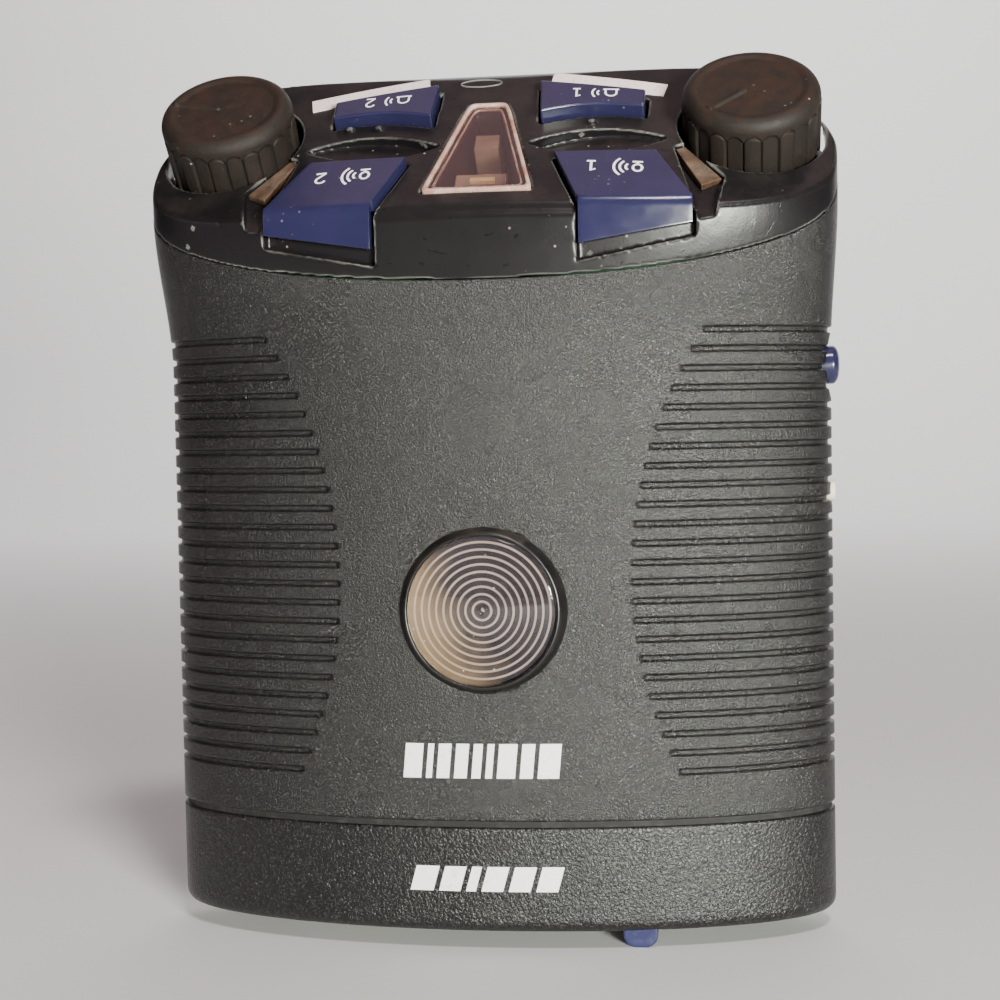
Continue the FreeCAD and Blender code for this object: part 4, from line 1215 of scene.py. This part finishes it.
def powder_coat():
    material, tree, shader = new_finish("powder_coat")
    place = object_place(tree)
    peel = noise(tree, place, 900.0, 2.0)
    cloud = noise(tree, place, 120.0, 5.0)
    edge = ramp(tree, node(tree, "NewGeometry").outputs["Pointiness"], 0.53, 0.6)
    worn = math_node(tree, "MULTIPLY", edge, ramp(tree, cloud, 0.5, 0.62))
    wired(tree, shader, mix_colour(tree, worn, (0.012, 0.012, 0.013, 1), (0.20, 0.20, 0.20, 1)),
          ramp(tree, cloud, 0.3, 0.7, 0.36, 0.5))
    bumped(tree, shader, peel, 0.35, 0.0001)
    return material


coated = powder_coat()
lever = softened("clip_lever", "clip_lever_pressed", 0.25, 3)
finish_piece(lever, coated, "clip_lever", "clip_steel", "clip_lever")
bracket = softened("clip_bracket", "clip_bracket_pressed", 0.2, 2)
finish_piece(bracket, coated, "case", "black_steel", "clip_bracket")
black_steel = plated("black_zinc", (0.05, 0.05, 0.052, 1), (0.03, 0.03, 0.03, 1), 0.4)
for node_name, material in (("clip_pin", steel), ("clip_spring", steel), ("clip_screws", black_steel),
                            ("case_screws", black_steel), ("base_screws", black_steel),
                            ("board_screws", steel), ("pot_shaft_left", steel),
                            ("pot_shaft_right", steel)):
    carry_over(node_name, material)

# ---- boards inside the case
# Two circuit boards, a side board, their switches, potentiometers and flat lead. They are
# out of sight once the case is closed.

mask_green = tinted_well("solder_mask", (0.010, 0.075, 0.030, 1), (0.018, 0.11, 0.05, 1))
black_part = tinted_well("component_plastic", (0.012, 0.012, 0.013, 1), (0.03, 0.03, 0.03, 1))
flat_lead = tinted_well("flat_lead", (0.45, 0.45, 0.43, 1), (0.58, 0.58, 0.56, 1))
for node_name in ("control_board", "main_board", "side_board"):
    carry_over(node_name, mask_green)
for node_name in ("pot_left", "pot_right", "board_components", "talk_switch_left", "talk_switch_right",
                  "call_switch_left", "call_switch_right", "side_switch", "trimmer_body"):
    carry_over(node_name, black_part)
carry_over("board_ribbon", flat_lead)

# ---- stage, light and camera
# A pale sweep under soft studio lights, seen from the front and a little to the right.


def sweep():
    """Floor that curves up into a backdrop."""
    low = cad_low.z
    rows = []
    profile = [(-1.6, 0.0), (0.9, 0.0)]
    profile += [(0.9 + 0.5 * math.sin(a), 0.5 - 0.5 * math.cos(a))
                for a in np.linspace(0, math.pi / 2, 16)[1:]]
    profile.append((1.4, 2.6))
    for y, z in profile:
        rows.append([(x * 1000.0, y * 1000.0, (z + low) * 1000.0) for x in np.linspace(-2.2, 2.2, 5)])
    piece = grid_piece("sweep", np.array(rows))
    material, tree, shader = new_finish("pale_paper")
    cloud = noise(tree, object_place(tree), 3.0)
    tree.links.new(mix_colour(tree, cloud, (0.80, 0.80, 0.80, 1), (0.82, 0.82, 0.82, 1)),
                   shader.inputs["Base Color"])
    shader.inputs["Roughness"].default_value = 0.9
    piece.data.materials.append(material)


sweep()


def soft_light(name, place, aim, width, height, watts, colour):
    lamp = bpy.data.lights.new(name, "AREA")
    lamp.shape = "RECTANGLE"
    lamp.size, lamp.size_y = width, height
    lamp.energy = watts
    lamp.color = colour
    item = bpy.data.objects.new(name, lamp)
    item.location = place
    item.rotation_euler = (Vector(aim) - Vector(place)).to_track_quat("-Z", "Y").to_euler()
    bpy.context.scene.collection.objects.link(item)


soft_light("overhead", (0.16, -0.36, 0.66), (0, -0.01, 0.10), 0.14, 0.10, 2.4, (1.0, 0.93, 0.90))
soft_light("ceiling", (0.0, 0.08, 0.80), (0, 0, 0.12), 0.55, 0.5, 0.6, (1.0, 0.66, 0.70))
soft_light("front_right", (0.31, -0.60, 0.080), (0.01, 0, 0.075), 0.15, 0.09, 13.0, (0.98, 1.0, 0.90))
soft_light("fill", (-0.75, -0.45, 0.30), (0, 0, 0.06), 0.5, 0.5, 0.6, (1.0, 0.70, 0.76))
soft_light("backdrop", (0.0, 0.75, 1.2), (0, 1.75, 0.7), 1.2, 0.5, 24.0, (1.0, 0.99, 0.98))
world = bpy.data.worlds.new("studio")
bpy.context.scene.world = world
world.use_nodes = True
world.node_tree.nodes["Background"].inputs[0].default_value = (0.95, 0.60, 0.64, 1)
world.node_tree.nodes["Background"].inputs[1].default_value = 0.03

camera_data = bpy.data.cameras.new("camera")
camera = bpy.data.objects.new("camera", camera_data)
bpy.context.scene.collection.objects.link(camera)
yaw, pitch, roll = 0.134, -0.049, -0.019
ahead = Vector((-math.sin(yaw) * math.cos(pitch), math.cos(yaw) * math.cos(pitch), math.sin(pitch)))
level = Vector((math.cos(yaw), math.sin(yaw), 0))
above = level.cross(ahead)
side_axis = level * math.cos(roll) + above * math.sin(roll)
up_axis = above * math.cos(roll) - level * math.sin(roll)
turned_to = Matrix((side_axis, up_axis, -ahead)).transposed()
camera.matrix_world = Matrix.Translation((0.03605, -0.26167, 0.07474)) @ turned_to.to_4x4()
camera_data.sensor_width = 36.0
camera_data.lens = 63.175
camera_data.clip_start = 0.01
bpy.context.scene.camera = camera
